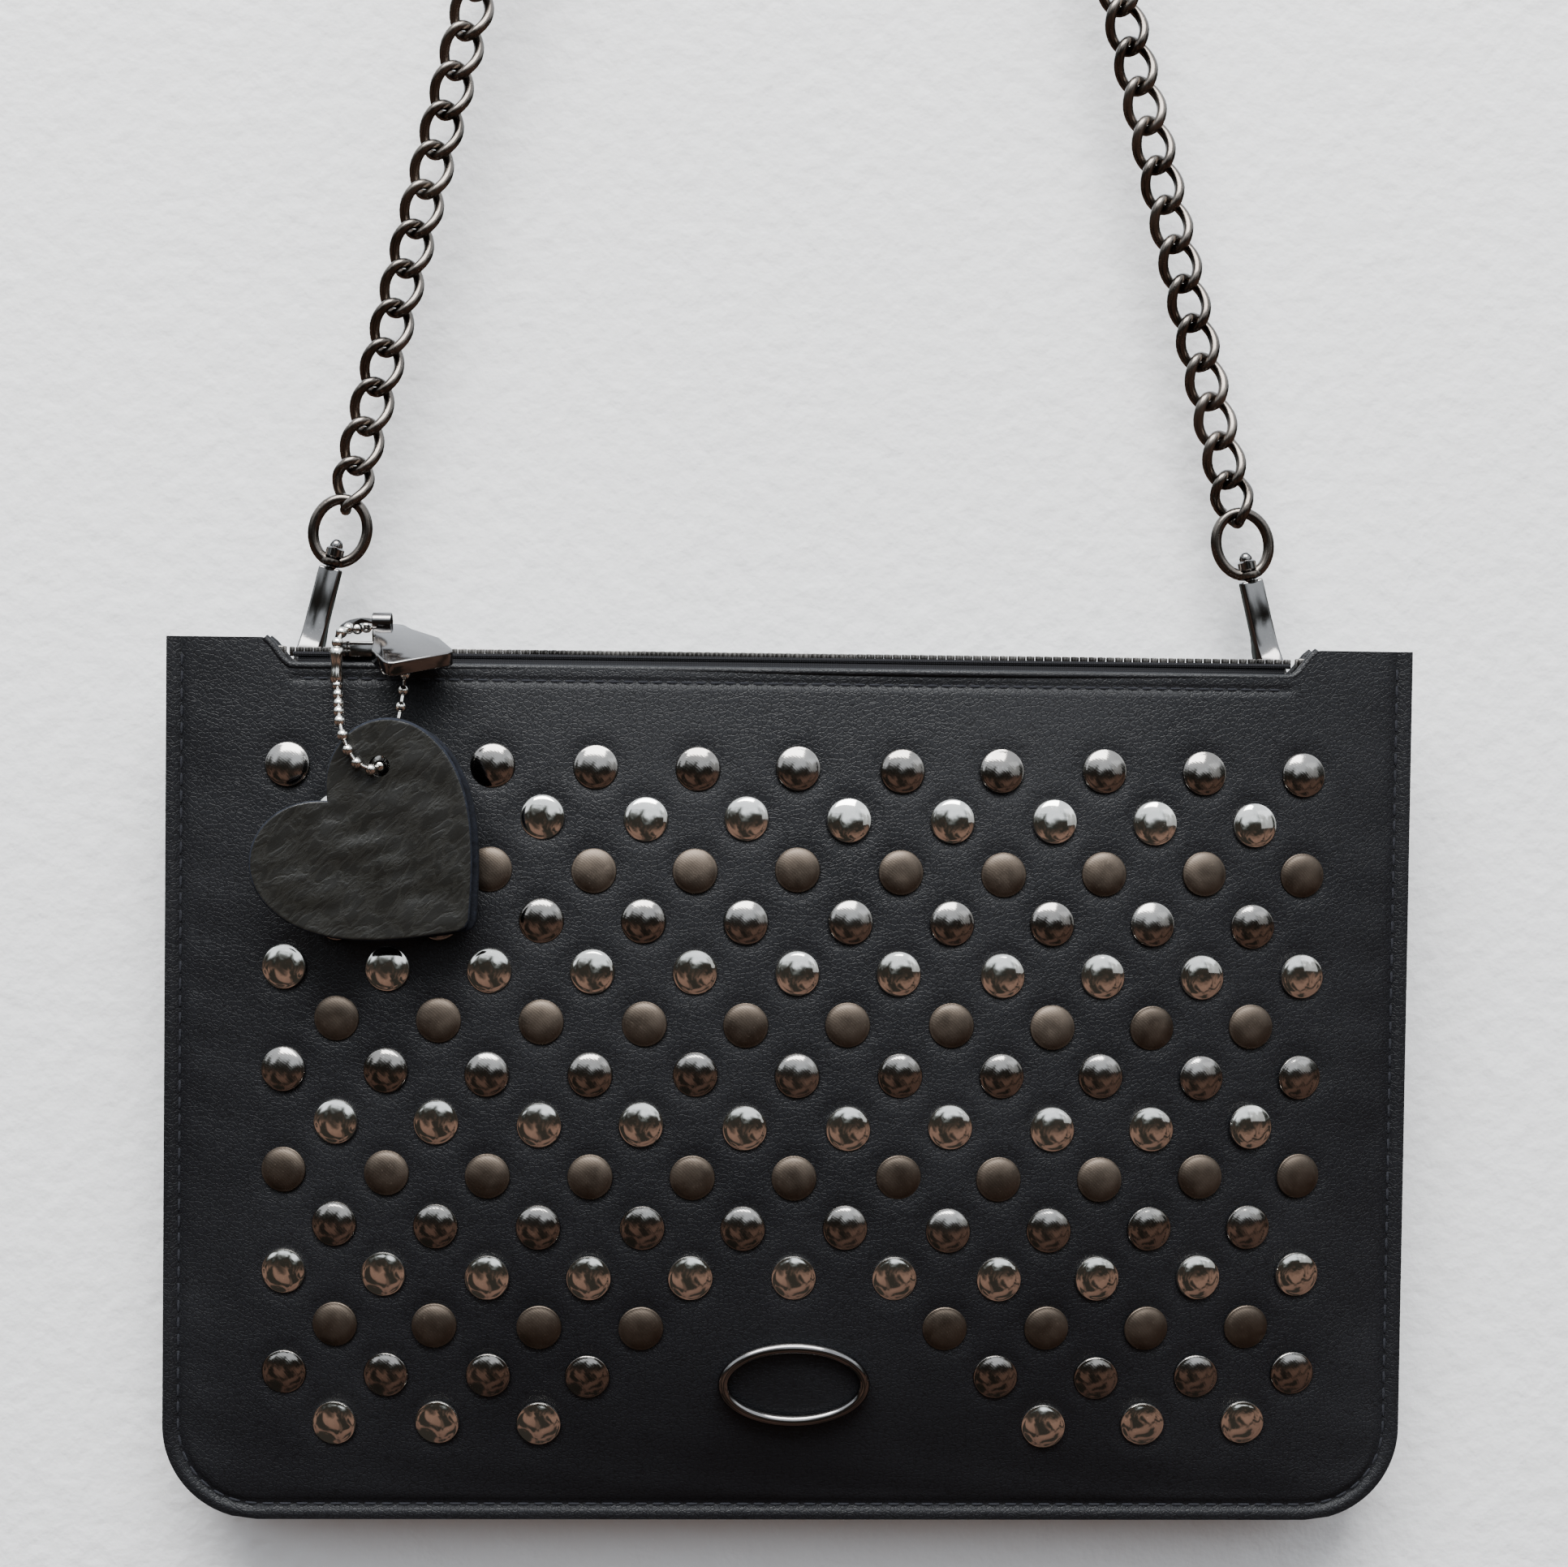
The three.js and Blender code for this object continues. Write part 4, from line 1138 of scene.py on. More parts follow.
def build_tapes():
    """Woven tapes from inside each panel up to the teeth, with a corded edge at the teeth."""
    columns = 120
    for name, sign in (("front", -1), ("back", 1)):
        heap = Heap()
        xs = np.linspace(-MOUTH_END + 1, MOUTH_END - 1, columns)
        front = name == "front"
        rows = []
        for height in (161.5, 165, 168.5, 171.2):
            inside = face_depth(xs, np.full(columns, height), front) - LEATHER - 0.35
            rows.append((inside, np.full(columns, height)))
        lip = rows[-1][0]
        for share, height in ((0.4, 172.2), (0.8, 172.8), (1.0, 173.6)):
            rows.append((lip + (TAPE_LIP - lip) * share, np.full(columns, height)))
        grid = [(x, sign * y, z) for ys, zs in rows for x, y, z in zip(xs, ys, zs)]
        inner = [(x, sign * (y - 0.45), z - 0.2) for ys, zs in rows for x, y, z in zip(xs, ys, zs)]
        count = len(rows) * columns
        heap.add(grid + inner, grid_faces(len(rows), columns, 0), pouch_place())
        for face in grid_faces(len(rows), columns, count):
            heap.faces.append(list(reversed(face)))
            heap.slots.append(0)
        border = border_indices(len(rows), columns)
        for a, b in zip(border, border[1:] + border[:1]):
            heap.faces.append([a, b, b + count, a + count])
            heap.slots.append(0)
        cord = [(x, sign * TAPE_LIP, 173.75) for x in np.linspace(-MOUTH_END, MOUTH_END, 100)]
        heap.add(*tube(cord, 0.5, 8), pouch_place())
        piece(f"tape_{name}", heap, [FINISHES["tape"]], "pouch", [f"zip_tape_{name}"])


# ---- Slider and pull -----------------------------------------------------------------------
BRIDGE_HALF = 6.0
BRIDGE_DEPTH = 1.8
PULL_THICKNESS = 3.1
PULL_ASIDE = 3.4


def slider_outline(grow=0.0):
    """The slider's plan: two shoulders at its left end and a narrower tail."""
    half = 3.6 + grow
    return [
        (-6, -half * 0.62), (-5, -half * 0.92), (-2.5, -half), (1, -half * 0.93), (6, -half * 0.8),
        (6, half * 0.8), (1, half * 0.93), (-2.5, half), (-5, half * 0.92), (-6, half * 0.62),
    ]


def bridge_band():
    """The arched band over the slider, drawn flat with X across and Y up."""
    arches = []
    for half, top in ((BRIDGE_HALF, BRIDGE_TOP), (BRIDGE_HALF - 1.3, BRIDGE_TOP - 1.2)):
        rise = top - SLIDER_TOP + 0.4
        arch = []
        for k in range(25):
            angle = math.pi * (1 - k / 24)
            x = half * math.cos(angle)
            arch.append((x, SLIDER_TOP - 0.4 + rise * max(0.0, math.sin(angle)) ** 0.75))
        arches.append(arch)
    outer, inner = arches
    return plate(outer + inner[::-1], -BRIDGE_DEPTH / 2, BRIDGE_DEPTH / 2, 0.25, 2)


def build_slider():
    heap = Heap()
    place = pouch_place() @ Matrix.Translation((SLIDER_X, 0, 0))
    heap.add(*plate(slider_outline(), TEETH_TOP + 0.3, SLIDER_TOP, 0.35, 3), place)
    for sign in (-1, 1):
        wall = [(-5.2, 2.65), (-2.5, 2.65), (5.6, 2.65), (5.6, 2.95), (-2.5, 3.5), (-5.2, 3.2)]
        wall = [(x, sign * y) for x, y in wall]
        heap.add(*plate(wall, 173.35, SLIDER_TOP - 0.6, 0.15, 2), place)
    heap.add(*bridge_band(), place @ Matrix.Rotation(math.pi / 2, 4, "X"))
    piece("slider", heap, [FINISHES["gunmetal"]], "slider", ["slider_body"], 35)


def curled_end():
    """The pull's narrow end, rolled round the bridge about X."""
    section = [(-1.75, 1.2), (1.75, 1.2), (1.9, 1.35), (1.9, 1.75), (1.75, 1.9), (-1.75, 1.9)]
    section += [(-1.9, 1.75), (-1.9, 1.35)]
    points = []
    turns = 32
    for k in range(turns):
        angle = 2 * math.pi * k / turns
        points += [(x, r * math.cos(angle), r * math.sin(angle)) for x, r in section]
    return points, ring_faces(turns, len(section), closed_rows=True)


def build_pull():
    """A flared plate that lies forward from the bridge, with an eye at its narrow end."""
    outline = [(-1.9, -1.6), (-3.4, -3.0), (-4.1, -6), (-7.1, -12.3), (-7.2, -18.8)]
    outline += [(-6.7, -20.1), (-5.6, -20.5)]
    outline += [(-x, y) for x, y in reversed(outline)]
    turn = Matrix.Rotation(PULL_SLOPE, 4, "X") @ Matrix.Rotation(PULL_TURN, 4, "Z")
    place = pouch_place() @ Matrix.Translation((SLIDER_X + PULL_ASIDE, 0, BRIDGE_TOP - 0.9))
    heap = Heap()
    heap.add(*plate(outline, -PULL_THICKNESS, 0.0, 0.42, 4), place @ turn)
    heap.add(*curled_end(), place)
    piece("pull", heap, [FINISHES["gunmetal"]], "pull", ["pull_tab"], 30)


# ---- Studs and emblem ----------------------------------------------------------------------
def on_front(x, height, stand=0.0):
    """A place on the front's smooth surface and its outward normal, in pouch coordinates."""
    step = 0.5
    spots = np.array([x, x + step, x]), np.array([height, height, height + step])
    here, across, up = face_depth(*spots, True)
    normal = Vector((-(across - here) / step, -1, -(up - here) / step)).normalized()
    return Vector((x, -here, height)) + normal * stand, normal


def stud(kind):
    """A domed cap: its rim, then the dome, from the rise and fullness of each finish."""
    rise, power, lip = {
        "stud_gunmetal": (1.4, 2.1, 0.24),
        "stud_nickel": (1.1, 2.2, 0.30),
        "stud_brass": (1.05, 2.8, 0.22),
    }[kind]
    profile = [(0, -0.5), (4.25, -0.5), (4.48, -0.3), (4.5, -0.05), (4.46, 0.1), (4.34, lip)]
    steps = 12
    for k in range(steps + 1):
        radius = 4.18 * (1 - k / steps)
        height = lip + 0.03 + (rise - lip - 0.03) * (1 - (radius / 4.18) ** power) ** 0.86
        profile.append((radius, height))
    profile[-1] = (0, rise)
    return lathe(profile, 36)


def row_nodes(row):
    name = f"studs_row_{row:02d}"
    return [f"{name}_left", f"{name}_right"] if row >= 12 else [name]


def build_studs(tilt):
    kinds = ["stud_gunmetal", "stud_nickel", "stud_brass"]
    shapes = {kind: stud(kind) for kind in kinds}
    chance = random.Random(41)
    for row in range(1, STUD_ROWS + 1):
        kind = kinds[(row - 1) % 3]
        heap = Heap()
        for column in stud_columns(row):
            x = column + chance.uniform(-0.3, 0.3)
            height = stud_height(row) + chance.uniform(-0.3, 0.3)
            position, normal = on_front(x, height, 0.05)
            lean = Vector((chance.gauss(0, tilt), 0, chance.gauss(0, tilt)))
            place = pouch_place() @ facing(position, normal + lean)
            heap.add(*shapes[kind], place)
        piece(f"studs_{row:02d}", heap, [FINISHES[kind]], "pouch", row_nodes(row), 30)


def build_emblem():
    """A plain oval frame of round wire, riveted at its two ends."""
    position, normal = on_front(*EMBLEM_PLACE, 1.5)
    place = pouch_place() @ facing(position, normal)
    heap = Heap()
    path = []
    for k in range(72):
        u = 2 * math.pi * k / 72
        path.append((14.1 * math.cos(u), 7.7 * math.sin(u), 0.0))
    heap.add(*tube(path, 1.1, 14, closed=True), place)
    for side in (-1, 1):
        peg = [(0, -1.6), (0.7, -1.6), (0.7, -0.4), (0, -0.4)]
        heap.add(*lathe(peg, 12), place @ Matrix.Translation((side * 14.1, 0, 0)))
    piece("emblem_frame", heap, [FINISHES["gunmetal"]], "pouch", ["emblem"], 40)


# ---- D-rings and their tabs ----------------------------------------------------------------
def d_ring_path():
    """Straight bar below and arch above, leaning back to the hook."""
    half, rise = 6.6, BOW_HEIGHT - BAR_HEIGHT
    flat = [(-half + 0.5, 0), (-3, 0), (0, 0), (3, 0), (half - 0.5, 0)]
    flat += arc(half - 0.7, 0.7, 0.7, -math.pi / 2, 0, 4)[1:]
    for k in range(1, 24):
        angle = math.pi * k / 24
        flat.append((half * math.cos(angle), rise * (0.28 + 0.72 * math.sin(angle))))
    flat += arc(-half + 0.7, 0.7, 0.7, math.pi, 1.5 * math.pi, 4)[:-1]
    lean = math.atan2(BOW_DEPTH - BAR_DEPTH, rise)
    return [
        (x, BAR_DEPTH + z * math.sin(lean), BAR_HEIGHT + z * math.cos(lean)) for x, z in flat
    ]


def tab_loop():
    """A strip of leather sewn to the back, folded over the ring's bar."""
    back = float(face_depth(np.array([BOW_X - 5]), np.array([138.0]), False)[0]) + 0.3
    outer_radius = 1.1 + 0.3 + TAB_LEATHER
    front = back + 2 * TAB_LEATHER + 0.3
    outer = [(back, 138), (front, 138), (front, 146), (front, 150.6)]
    outer += arc(BAR_DEPTH, BAR_HEIGHT, outer_radius, -0.35, math.pi, 18)
    outline = outer + [(back, 150)]
    heap = Heap().add(*plate(outline, -TAB_HALF_WIDTH, TAB_HALF_WIDTH, 0.35, 3), SIDEWAYS)
    return heap, front


def tab_seam(front, shift):
    """Stitches round the tab's sewn square, on its outer face."""
    low, high, side = 139.3, 149.5, 3.9
    runs = (
        ((-side, low), (-side, high)), ((side, low), (side, high)),
        ((-side, low), (side, low)), ((-side, high), (side, high)),
    )
    out = Vector((0, 1, 0))
    seam = Heap()
    for (x0, z0), (x1, z1) in runs:
        path = even_points([Vector((x0, front, z0)), Vector((x1, front, z1))], 2.4)
        for a, b in zip(path, path[1:]):
            along = (b - a).normalized()
            turn = Matrix((along, out.cross(along), out)).transposed().to_4x4()
            place = shift @ Matrix.Translation((a + b) / 2) @ turn
            seam.add(*stitch((b - a).length * STITCH_FILL), place)
    return seam


def build_rings():
    """The D-rings, the tabs that hold them and the tabs' seams."""
    for side, name in ((-1, "left"), (1, "right")):
        shift = pouch_place() @ Matrix.Translation((side * BOW_X, 0, 0))
        ring = Heap().add(*tube(d_ring_path(), 1.1, 14, closed=True), shift)
        piece(
            f"d_loop_{name}", ring, [FINISHES["gunmetal"]], f"{name}_d_ring",
            [f"d_ring_{name}"],
        )
        tab, front = tab_loop()
        place_all(tab, shift)
        piece(
            f"tab_{name}", tab, [FINISHES["trim"]], "pouch",
            [f"d_ring_tab_{name}"], 35,
        )
        seam = tab_seam(front, shift)
        piece(f"tab_stitches_{name}", seam, [FINISHES["thread"]], "pouch", ())


# ---- Ball chain and charm ------------------------------------------------------------------
BALL_PITCH = 3.2
BALL_RADIUS = 1.15
LOOP_KNOTS = [
    (-90.4, -7.8, 175.9), (-89.6, -4.6, 178.6), (-87.6, -0.2, 178.9), (-85.6, 3.2, 179.4),
    (-82.4, 4.6, 179.2), (-78.9, 2.9, 178.2), (-77.4, -0.4, 177.4), (-77, -4, 175.9),
    (-77, -5.6, 174.2),
]
LEFT_KNOTS = [
    (-90.3, -8, 167.5), (-89.4, -12.4, 164.2), (-88.4, -17.9, 160.5), (-87.2, -19.1, 156.5),
    (-85.4, -19.2, 153), (-82.6, -18.9, 151.3), (-80.9, -17.6, 151.7), (-80.8, -16.4, 151.9),
]
RIGHT_KNOTS = [
    (-77, -6, 173), (-77.3, -8.2, 167), (-78.2, -10.4, 160), (-79.6, -11.8, 155),
    (-80.6, -12.8, 152.6), (-80.8, -14.4, 151.9),
]


def ball_run(knots):
    heap = Heap()
    spots = smooth_path(knots, BALL_PITCH)
    made = ball(BALL_RADIUS, 16, 10)
    for spot in spots:
        heap.add(*made, pouch_place() @ Matrix.Translation(spot))
    for a, b in zip(spots, spots[1:]):
        heap.add(*tube([a, (a + b) / 2, b], 0.36, 8), pouch_place())
    return heap


def clasp():
    """A folded sleeve, wider near each end and waisted at its middle."""
    profile = [(0, -3.6), (0.9, -3.6), (1.3, -3.2), (1.42, -2.2), (1.2, -0.9), (1.05, 0)]
    profile += [(1.2, 0.9), (1.42, 2.2), (1.3, 3.2), (0.9, 3.6), (0, 3.6)]
    return lathe(profile, 20)


def build_ball_chain():
    bright = [FINISHES["nickel"]]
    piece("balls_loop", ball_run(LOOP_KNOTS), bright, "slider", ["ball_chain_loop"])
    piece("balls_left", ball_run(LEFT_KNOTS), bright, "charm_chain", ["ball_chain_left"])
    piece("balls_right", ball_run(RIGHT_KNOTS), bright, "charm_chain", ["ball_chain_right"])
    place = pouch_place() @ Matrix.Translation((-90.5, -7.8, 171.4))
    heap = Heap().add(*clasp(), place)
    piece("clasp", heap, bright, "charm_chain", ["ball_chain_clasp"], 50)


HEART_EDGE_RADIUS = 0.55
FACE_RINGS = 22
FACE_SHARE = 0.96
EDGE_SHARES = [0.974, 0.985, 0.993, 1.0]  # rings closer together over the rounded edge


def heart_outline():
    right = bezier((0, -27), (11, -18.5), (24, -8), (22.9, 5), 24)
    right += bezier((22.9, 5), (22, 16), (8.5, 20.5), (0, 10), 24)
    left = [(-x, y) for x, y in reversed(right[1:])]
    return right + [(0, 10)] + left


def heart_layer(near, far, shrink, rough_seed):
    """One layer between two depths: its points, its two faces and, apart, its cut edge."""
    outline = [(x, max(y, -26.3)) for x, y in heart_outline()]
    middle = Vector((0, -5, 0))
    shares = [FACE_SHARE * k / FACE_RINGS for k in range(1, FACE_RINGS + 1)] + EDGE_SHARES
    rings = len(shares)
    count = len(outline)
    points = []
    radius = HEART_EDGE_RADIUS
    for face_sign, depth in ((-1, near), (1, far)):
        for share in shares:
            for x, y in outline:
                spot = Vector((x, y, 0))
                reach = spot - middle
                size = reach.length - shrink
                away = reach.normalized()
                edge = size * share
                inset = max(0.0, radius - (size - edge))
                drop = radius - math.sqrt(max(0.0, radius ** 2 - inset ** 2))
                flat = middle + away * edge
                wave = 0.16 * math.sin(flat.x * 0.55 + rough_seed + 1.7 * math.sin(flat.y * 0.31))
                wave += 0.10 * math.sin(flat.y * 1.1 + 2.0 * math.sin(flat.x * 0.43 + rough_seed))
                cup = 0.0009 * (flat.x ** 2 + flat.y ** 2)
                lift = (wave if face_sign < 0 else 0.0) * min(1.0, (1 - share) * 6)
                points.append((flat.x, depth - face_sign * drop + lift * 0.8 - cup * 0.4, flat.y))
    half = rings * count
    points += [(middle.x, near, middle.y), (middle.x, far, middle.y)]
    front = ring_faces(rings, count)
    cut = front[-2 * count:]
    faces = front[:-2 * count]
    faces += [tuple(corner + half for corner in reversed(face)) for face in front]
    for k in range(count):
        after = (k + 1) % count
        faces.append((2 * half, k, after))
        faces.append((2 * half + 1, half + after, half + k))
        rim = (rings - 1) * count
        cut.append((rim + k, rim + after, rim + after + half, rim + k + half))
    return points, faces, cut


def charm_place():
    turn = Matrix.Rotation(-HEART_TURN, 4, "Y")
    to_hole = Matrix.Translation((-HEART_HOLE[0], 0, -HEART_HOLE[1]))
    return pouch_place() @ Matrix.Translation(CHARM_HOLE) @ turn @ to_hole


def cut_hole(thing, place, radius):
    """Cuts a round hole through a piece and applies the cut."""
    points, faces = lathe([(0, -6), (radius, -6), (radius, 6), (0, 6)], 28)
    heap = Heap().add(points, faces, place @ Matrix.Rotation(math.pi / 2, 4, "X"))
    mesh = bpy.data.meshes.new("cutter")
    mesh.from_pydata([tuple(HANG @ point * MM) for point in heap.points], [], heap.faces)
    cutter = bpy.data.objects.new("cutter", mesh)
    bpy.context.scene.collection.objects.link(cutter)
    cut = thing.modifiers.new("Hole", "BOOLEAN")
    cut.operation = "DIFFERENCE"
    cut.solver = "EXACT"
    cut.object = cutter
    bpy.context.view_layer.update()
    shown = thing.evaluated_get(bpy.context.evaluated_depsgraph_get())
    made = bpy.data.meshes.new_from_object(shown)
    thing.modifiers.clear()
    made.name = thing.name
    thing.data = made
    bpy.data.objects.remove(cutter)


def build_charm():
    hole = charm_place() @ Matrix.Translation((HEART_HOLE[0], 0, HEART_HOLE[1]))
    layers = (
        ("heart_face", -1.9, -0.15, 0.0, 0.4, ("charm", "cut"), "heart_front", "charm_leather"),
        ("heart_backing", 0.15, 1.9, 0.25, 2.9, ("suede", "suede"), "heart_back", "charm_backing"),
    )
    for name, near, far, shrink, seed, finishes, node, slot in layers:
        slip = BACKING_SLIP if name == "heart_backing" else Vector((0, 0, 0))
        points, faces, cut = heart_layer(near, far, shrink, seed)
        heap = Heap().add(points, faces, Matrix.Translation(slip) @ charm_place())
        heap.faces += cut
        heap.slots += [1] * len(cut)
        thing = piece(name, heap, [FINISHES[f] for f in finishes], "charm", [node], 50)
        cut_hole(thing, hole, HEART_HOLE_RADIUS)


# ---- Stage ---------------------------------------------------------------------------------
WALL_SIZE = 3.2
WALL_GAP = 0.004
CAMERA_HEIGHT = -0.3467
CAMERA_DISTANCE = 0.5005
CAMERA_SIDE = -0.0018
CAMERA_ROLL = math.radians(0.7)
CAMERA_YAW = math.radians(2.0)
CAMERA_PITCH = math.radians(1.6)
CAMERA_LENS = 57.0
LIGHTS_AIM = (0.0, 0.0, -0.36)
KEY_PLACE = (-0.15, -0.95, 1.15)
KEY_SIZE = (1.7, 1.0)
KEY_COLOR = (1.0, 1.0, 0.99)
FILL_PLACE = (1.2, -1.0, 0.1)
FILL_SIZE = (0.9, 0.9)
FILL_COLOR = (0.93, 0.97, 1.0)


def build_backdrop():
    """A plastered wall close behind."""
    half = WALL_SIZE / 2
    y = CAD_BOX[1].y + WALL_GAP
    points = [(-half, y, -half), (half, y, -half), (half, y, half), (-half, y, half)]
    mesh = bpy.data.meshes.new("backdrop")
    mesh.from_pydata(points, [], [(0, 1, 2, 3)])
    mesh.materials.append(FINISHES["plaster"])
    backdrop = bpy.data.objects.new("backdrop", mesh)
    bpy.context.scene.collection.objects.link(backdrop)


def build_camera():
    data = bpy.data.cameras.new("Camera")
    data.lens = CAMERA_LENS
    data.sensor_width = 36.0
    camera = bpy.data.objects.new("Camera", data)
    target = Vector((CAMERA_SIDE, POUCH.y * MM, CAMERA_HEIGHT))
    level = math.cos(CAMERA_PITCH)
    back = Vector((-math.sin(CAMERA_YAW) * level, -math.cos(CAMERA_YAW) * level, math.sin(CAMERA_PITCH)))
    place = Matrix.Translation(target + back * CAMERA_DISTANCE)
    turn = (-back).to_track_quat("-Z", "Y").to_matrix().to_4x4()
    camera.matrix_world = HANG @ place @ turn @ Matrix.Rotation(CAMERA_ROLL, 4, "Z")
    bpy.context.scene.collection.objects.link(camera)
    bpy.context.scene.camera = camera


def add_panel_light(name, place, target, size, power, color):
    data = bpy.data.lights.new(name, "AREA")
    data.shape = "RECTANGLE"
    data.size, data.size_y = size
    data.energy = power
    data.color = color
    lamp = bpy.data.objects.new(name, data)
    lamp.location = place
    toward = Vector(target) - Vector(place)
    lamp.rotation_euler = toward.to_track_quat("-Z", "Y").to_euler()
    lamp.visible_camera = False
    bpy.context.scene.collection.objects.link(lamp)


def build_surroundings(brightness):
    """Soft daylight: bright above, dim and broken at eye level, warm ground below."""
    world = bpy.data.worlds.new("Surroundings")
    bpy.context.scene.world = world
    world.use_nodes = True
    tree = world.node_tree
    tree.nodes.clear()
    shade = Shade(tree)
    direction = shade.node("ShaderNodeTexCoord").outputs["Generated"]
    split = shade.node("ShaderNodeSeparateXYZ", {"Vector": direction})
    broken = shade.noise(direction, 2.3, 5.0, 0.9)
    lift = shade.math("MULTIPLY", shade.math("SUBTRACT", broken, 0.5), 1.0)
    aside = shade.math("MULTIPLY", shade.math("ABSOLUTE", split.outputs["X"]), 0.22)
    height = shade.math("SUBTRACT", shade.math("ADD", split.outputs["Z"], lift), aside)
    share = shade.remap(height, -1.0, 1.0)
    ramp = shade.node("ShaderNodeValToRGB", {"Fac": share})
    stops = (
        (0.0, (0.09, 0.055, 0.044)), (0.32, (0.17, 0.105, 0.080)), (0.41, (0.045, 0.033, 0.027)),
        (0.49, (0.014, 0.016, 0.014)), (0.56, (0.13, 0.14, 0.14)), (0.64, (0.80, 0.87, 0.94)),
        (1.0, (1.0, 1.06, 1.14)),
    )
    band = ramp.color_ramp
    while len(band.elements) < len(stops):
        band.elements.new(0.5)
    for element, (spot, color) in zip(band.elements, stops):
        element.position = spot
        element.color = rgb(color)
    blotches = shade.remap(shade.noise(direction, 2.2, 2.0, 1.2), 0.42, 0.5)
    above = shade.remap(split.outputs["Z"], 0.0, 0.3)
    clear = shade.math("MAXIMUM", blotches, above)
    tone = shade.mix(clear, (0.022, 0.020, 0.017, 1.0), ramp.outputs[0])
    lit = shade.node("ShaderNodeBackground", {"Color": tone, "Strength": brightness})
    plain = shade.node("ShaderNodeBackground", {"Color": (0.8, 0.81, 0.82, 1.0), "Strength": 1.0})
    seen = shade.node("ShaderNodeLightPath").outputs["Is Camera Ray"]
    choice = shade.node("ShaderNodeMixShader", {0: seen, 1: lit.outputs[0], 2: plain.outputs[0]})
    output = shade.node("ShaderNodeOutputWorld")
    tree.links.new(choice.outputs[0], output.inputs["Surface"])


def build_stage(stage):
    build_backdrop()
    build_camera()
    build_surroundings(stage.daylight)
    add_panel_light("Key", KEY_PLACE, LIGHTS_AIM, KEY_SIZE, stage.key_power, KEY_COLOR)
    add_panel_light("Fill", FILL_PLACE, LIGHTS_AIM, FILL_SIZE, stage.fill_power, FILL_COLOR)


# ---- Settings ------------------------------------------------------------------------------
class PouchColors(bpy.types.PropertyGroup):
    """Colours of the main finishes."""

    leather: FloatVectorProperty(
        name="Leather", description="Base colour of the panels", subtype="COLOR", size=3,
        default=(0.0062, 0.0066, 0.0084), min=0.0, max=1.0,
    )
    charm: FloatVectorProperty(
        name="Charm", description="Base colour of the heart", subtype="COLOR", size=3,
        default=(0.0072, 0.0070, 0.0058), min=0.0, max=1.0,
    )
    gunmetal: FloatVectorProperty(
        name="Gunmetal", description="Colour of the hooks, slider and emblem", subtype="COLOR",
        size=3, default=(0.20, 0.192, 0.188), min=0.0, max=1.0,
    )
    chain: FloatVectorProperty(
        name="Chain", description="Colour of the strap's links and rings", subtype="COLOR",
        size=3, default=(0.17, 0.148, 0.13), min=0.0, max=1.0,
    )
    brass: FloatVectorProperty(
        name="Brass", description="Colour of the antique studs", subtype="COLOR", size=3,
        default=(0.105, 0.084, 0.067), min=0.0, max=1.0,
    )
    plaster: FloatVectorProperty(
        name="Plaster", description="Colour of the wall and floor", subtype="COLOR", size=3,
        default=(0.94, 0.94, 0.945), min=0.0, max=1.0,
    )


class PouchDetail(bpy.types.PropertyGroup):
    """How even the studs are set."""

    stud_tilt: FloatProperty(
        name="Stud Tilt", description="How far a stud may lean, as a slope", default=0.03,
        min=0.0, max=0.2,
    )


class PouchStage(bpy.types.PropertyGroup):
    """Lights of the stage."""

    daylight: FloatProperty(
        name="Daylight", description="Strength of the surroundings", default=2.0, min=0.0
    )
    key_power: FloatProperty(
        name="Key", description="Power of the main light", default=95.0, min=0.0, unit="POWER"
    )
    fill_power: FloatProperty(
        name="Fill", description="Power of the side light", default=1.5, min=0.0, unit="POWER"
    )


# ---- Operators -----------------------------------------------------------------------------
def ready(context):
    """Makes the finishes the first time any operator runs."""
    if not FINISHES:
        build_finishes(context.scene.pouch_colors)


class POUCH_OT_chain(bpy.types.Operator):
    """Build the curb links of the strap"""

    bl_idname = "pouch.chain"
    bl_label = "Curb Chain"

    def execute(self, context):
        ready(context)
        build_chain()
        return {"FINISHED"}


class POUCH_OT_hooks(bpy.types.Operator):
    """Build the swivel rings, hooks and gates"""

    bl_idname = "pouch.hooks"
    bl_label = "Swivel Hooks"

    def execute(self, context):
        ready(context)
        build_hooks()
        return {"FINISHED"}


class POUCH_OT_panels(bpy.types.Operator):
    """Build the leather panels, their painted edge and the rolled mouth"""

    bl_idname = "pouch.panels"
    bl_label = "Leather Panels"

    def execute(self, context):
        ready(context)
        build_panels()
        build_binding()
        return {"FINISHED"}


class POUCH_OT_seams(bpy.types.Operator):
    """Sew the edge seams and the seams below the mouth"""

    bl_idname = "pouch.seams"
    bl_label = "Seams"

    def execute(self, context):
        ready(context)
        build_seams()
        return {"FINISHED"}


class POUCH_OT_zip(bpy.types.Operator):
    """Build the zip's tapes, teeth and stops"""

    bl_idname = "pouch.zip"
    bl_label = "Zip"

    def execute(self, context):
        ready(context)
        build_tapes()
        build_teeth()
        return {"FINISHED"}


class POUCH_OT_slider(bpy.types.Operator):
    """Build the zip's slider and its pull"""

    bl_idname = "pouch.slider"
    bl_label = "Slider and Pull"

    def execute(self, context):
        ready(context)
        build_slider()
        build_pull()
        return {"FINISHED"}


class POUCH_OT_studs(bpy.types.Operator):
    """Set the rows of domed studs"""

    bl_idname = "pouch.studs"
    bl_label = "Studs"

    def execute(self, context):
        ready(context)
        build_studs(context.scene.pouch_detail.stud_tilt)
        return {"FINISHED"}


class POUCH_OT_emblem(bpy.types.Operator):
    """Build the plain oval frame low on the front"""

    bl_idname = "pouch.emblem"
    bl_label = "Oval Frame"

    def execute(self, context):
        ready(context)
        build_emblem()
        return {"FINISHED"}


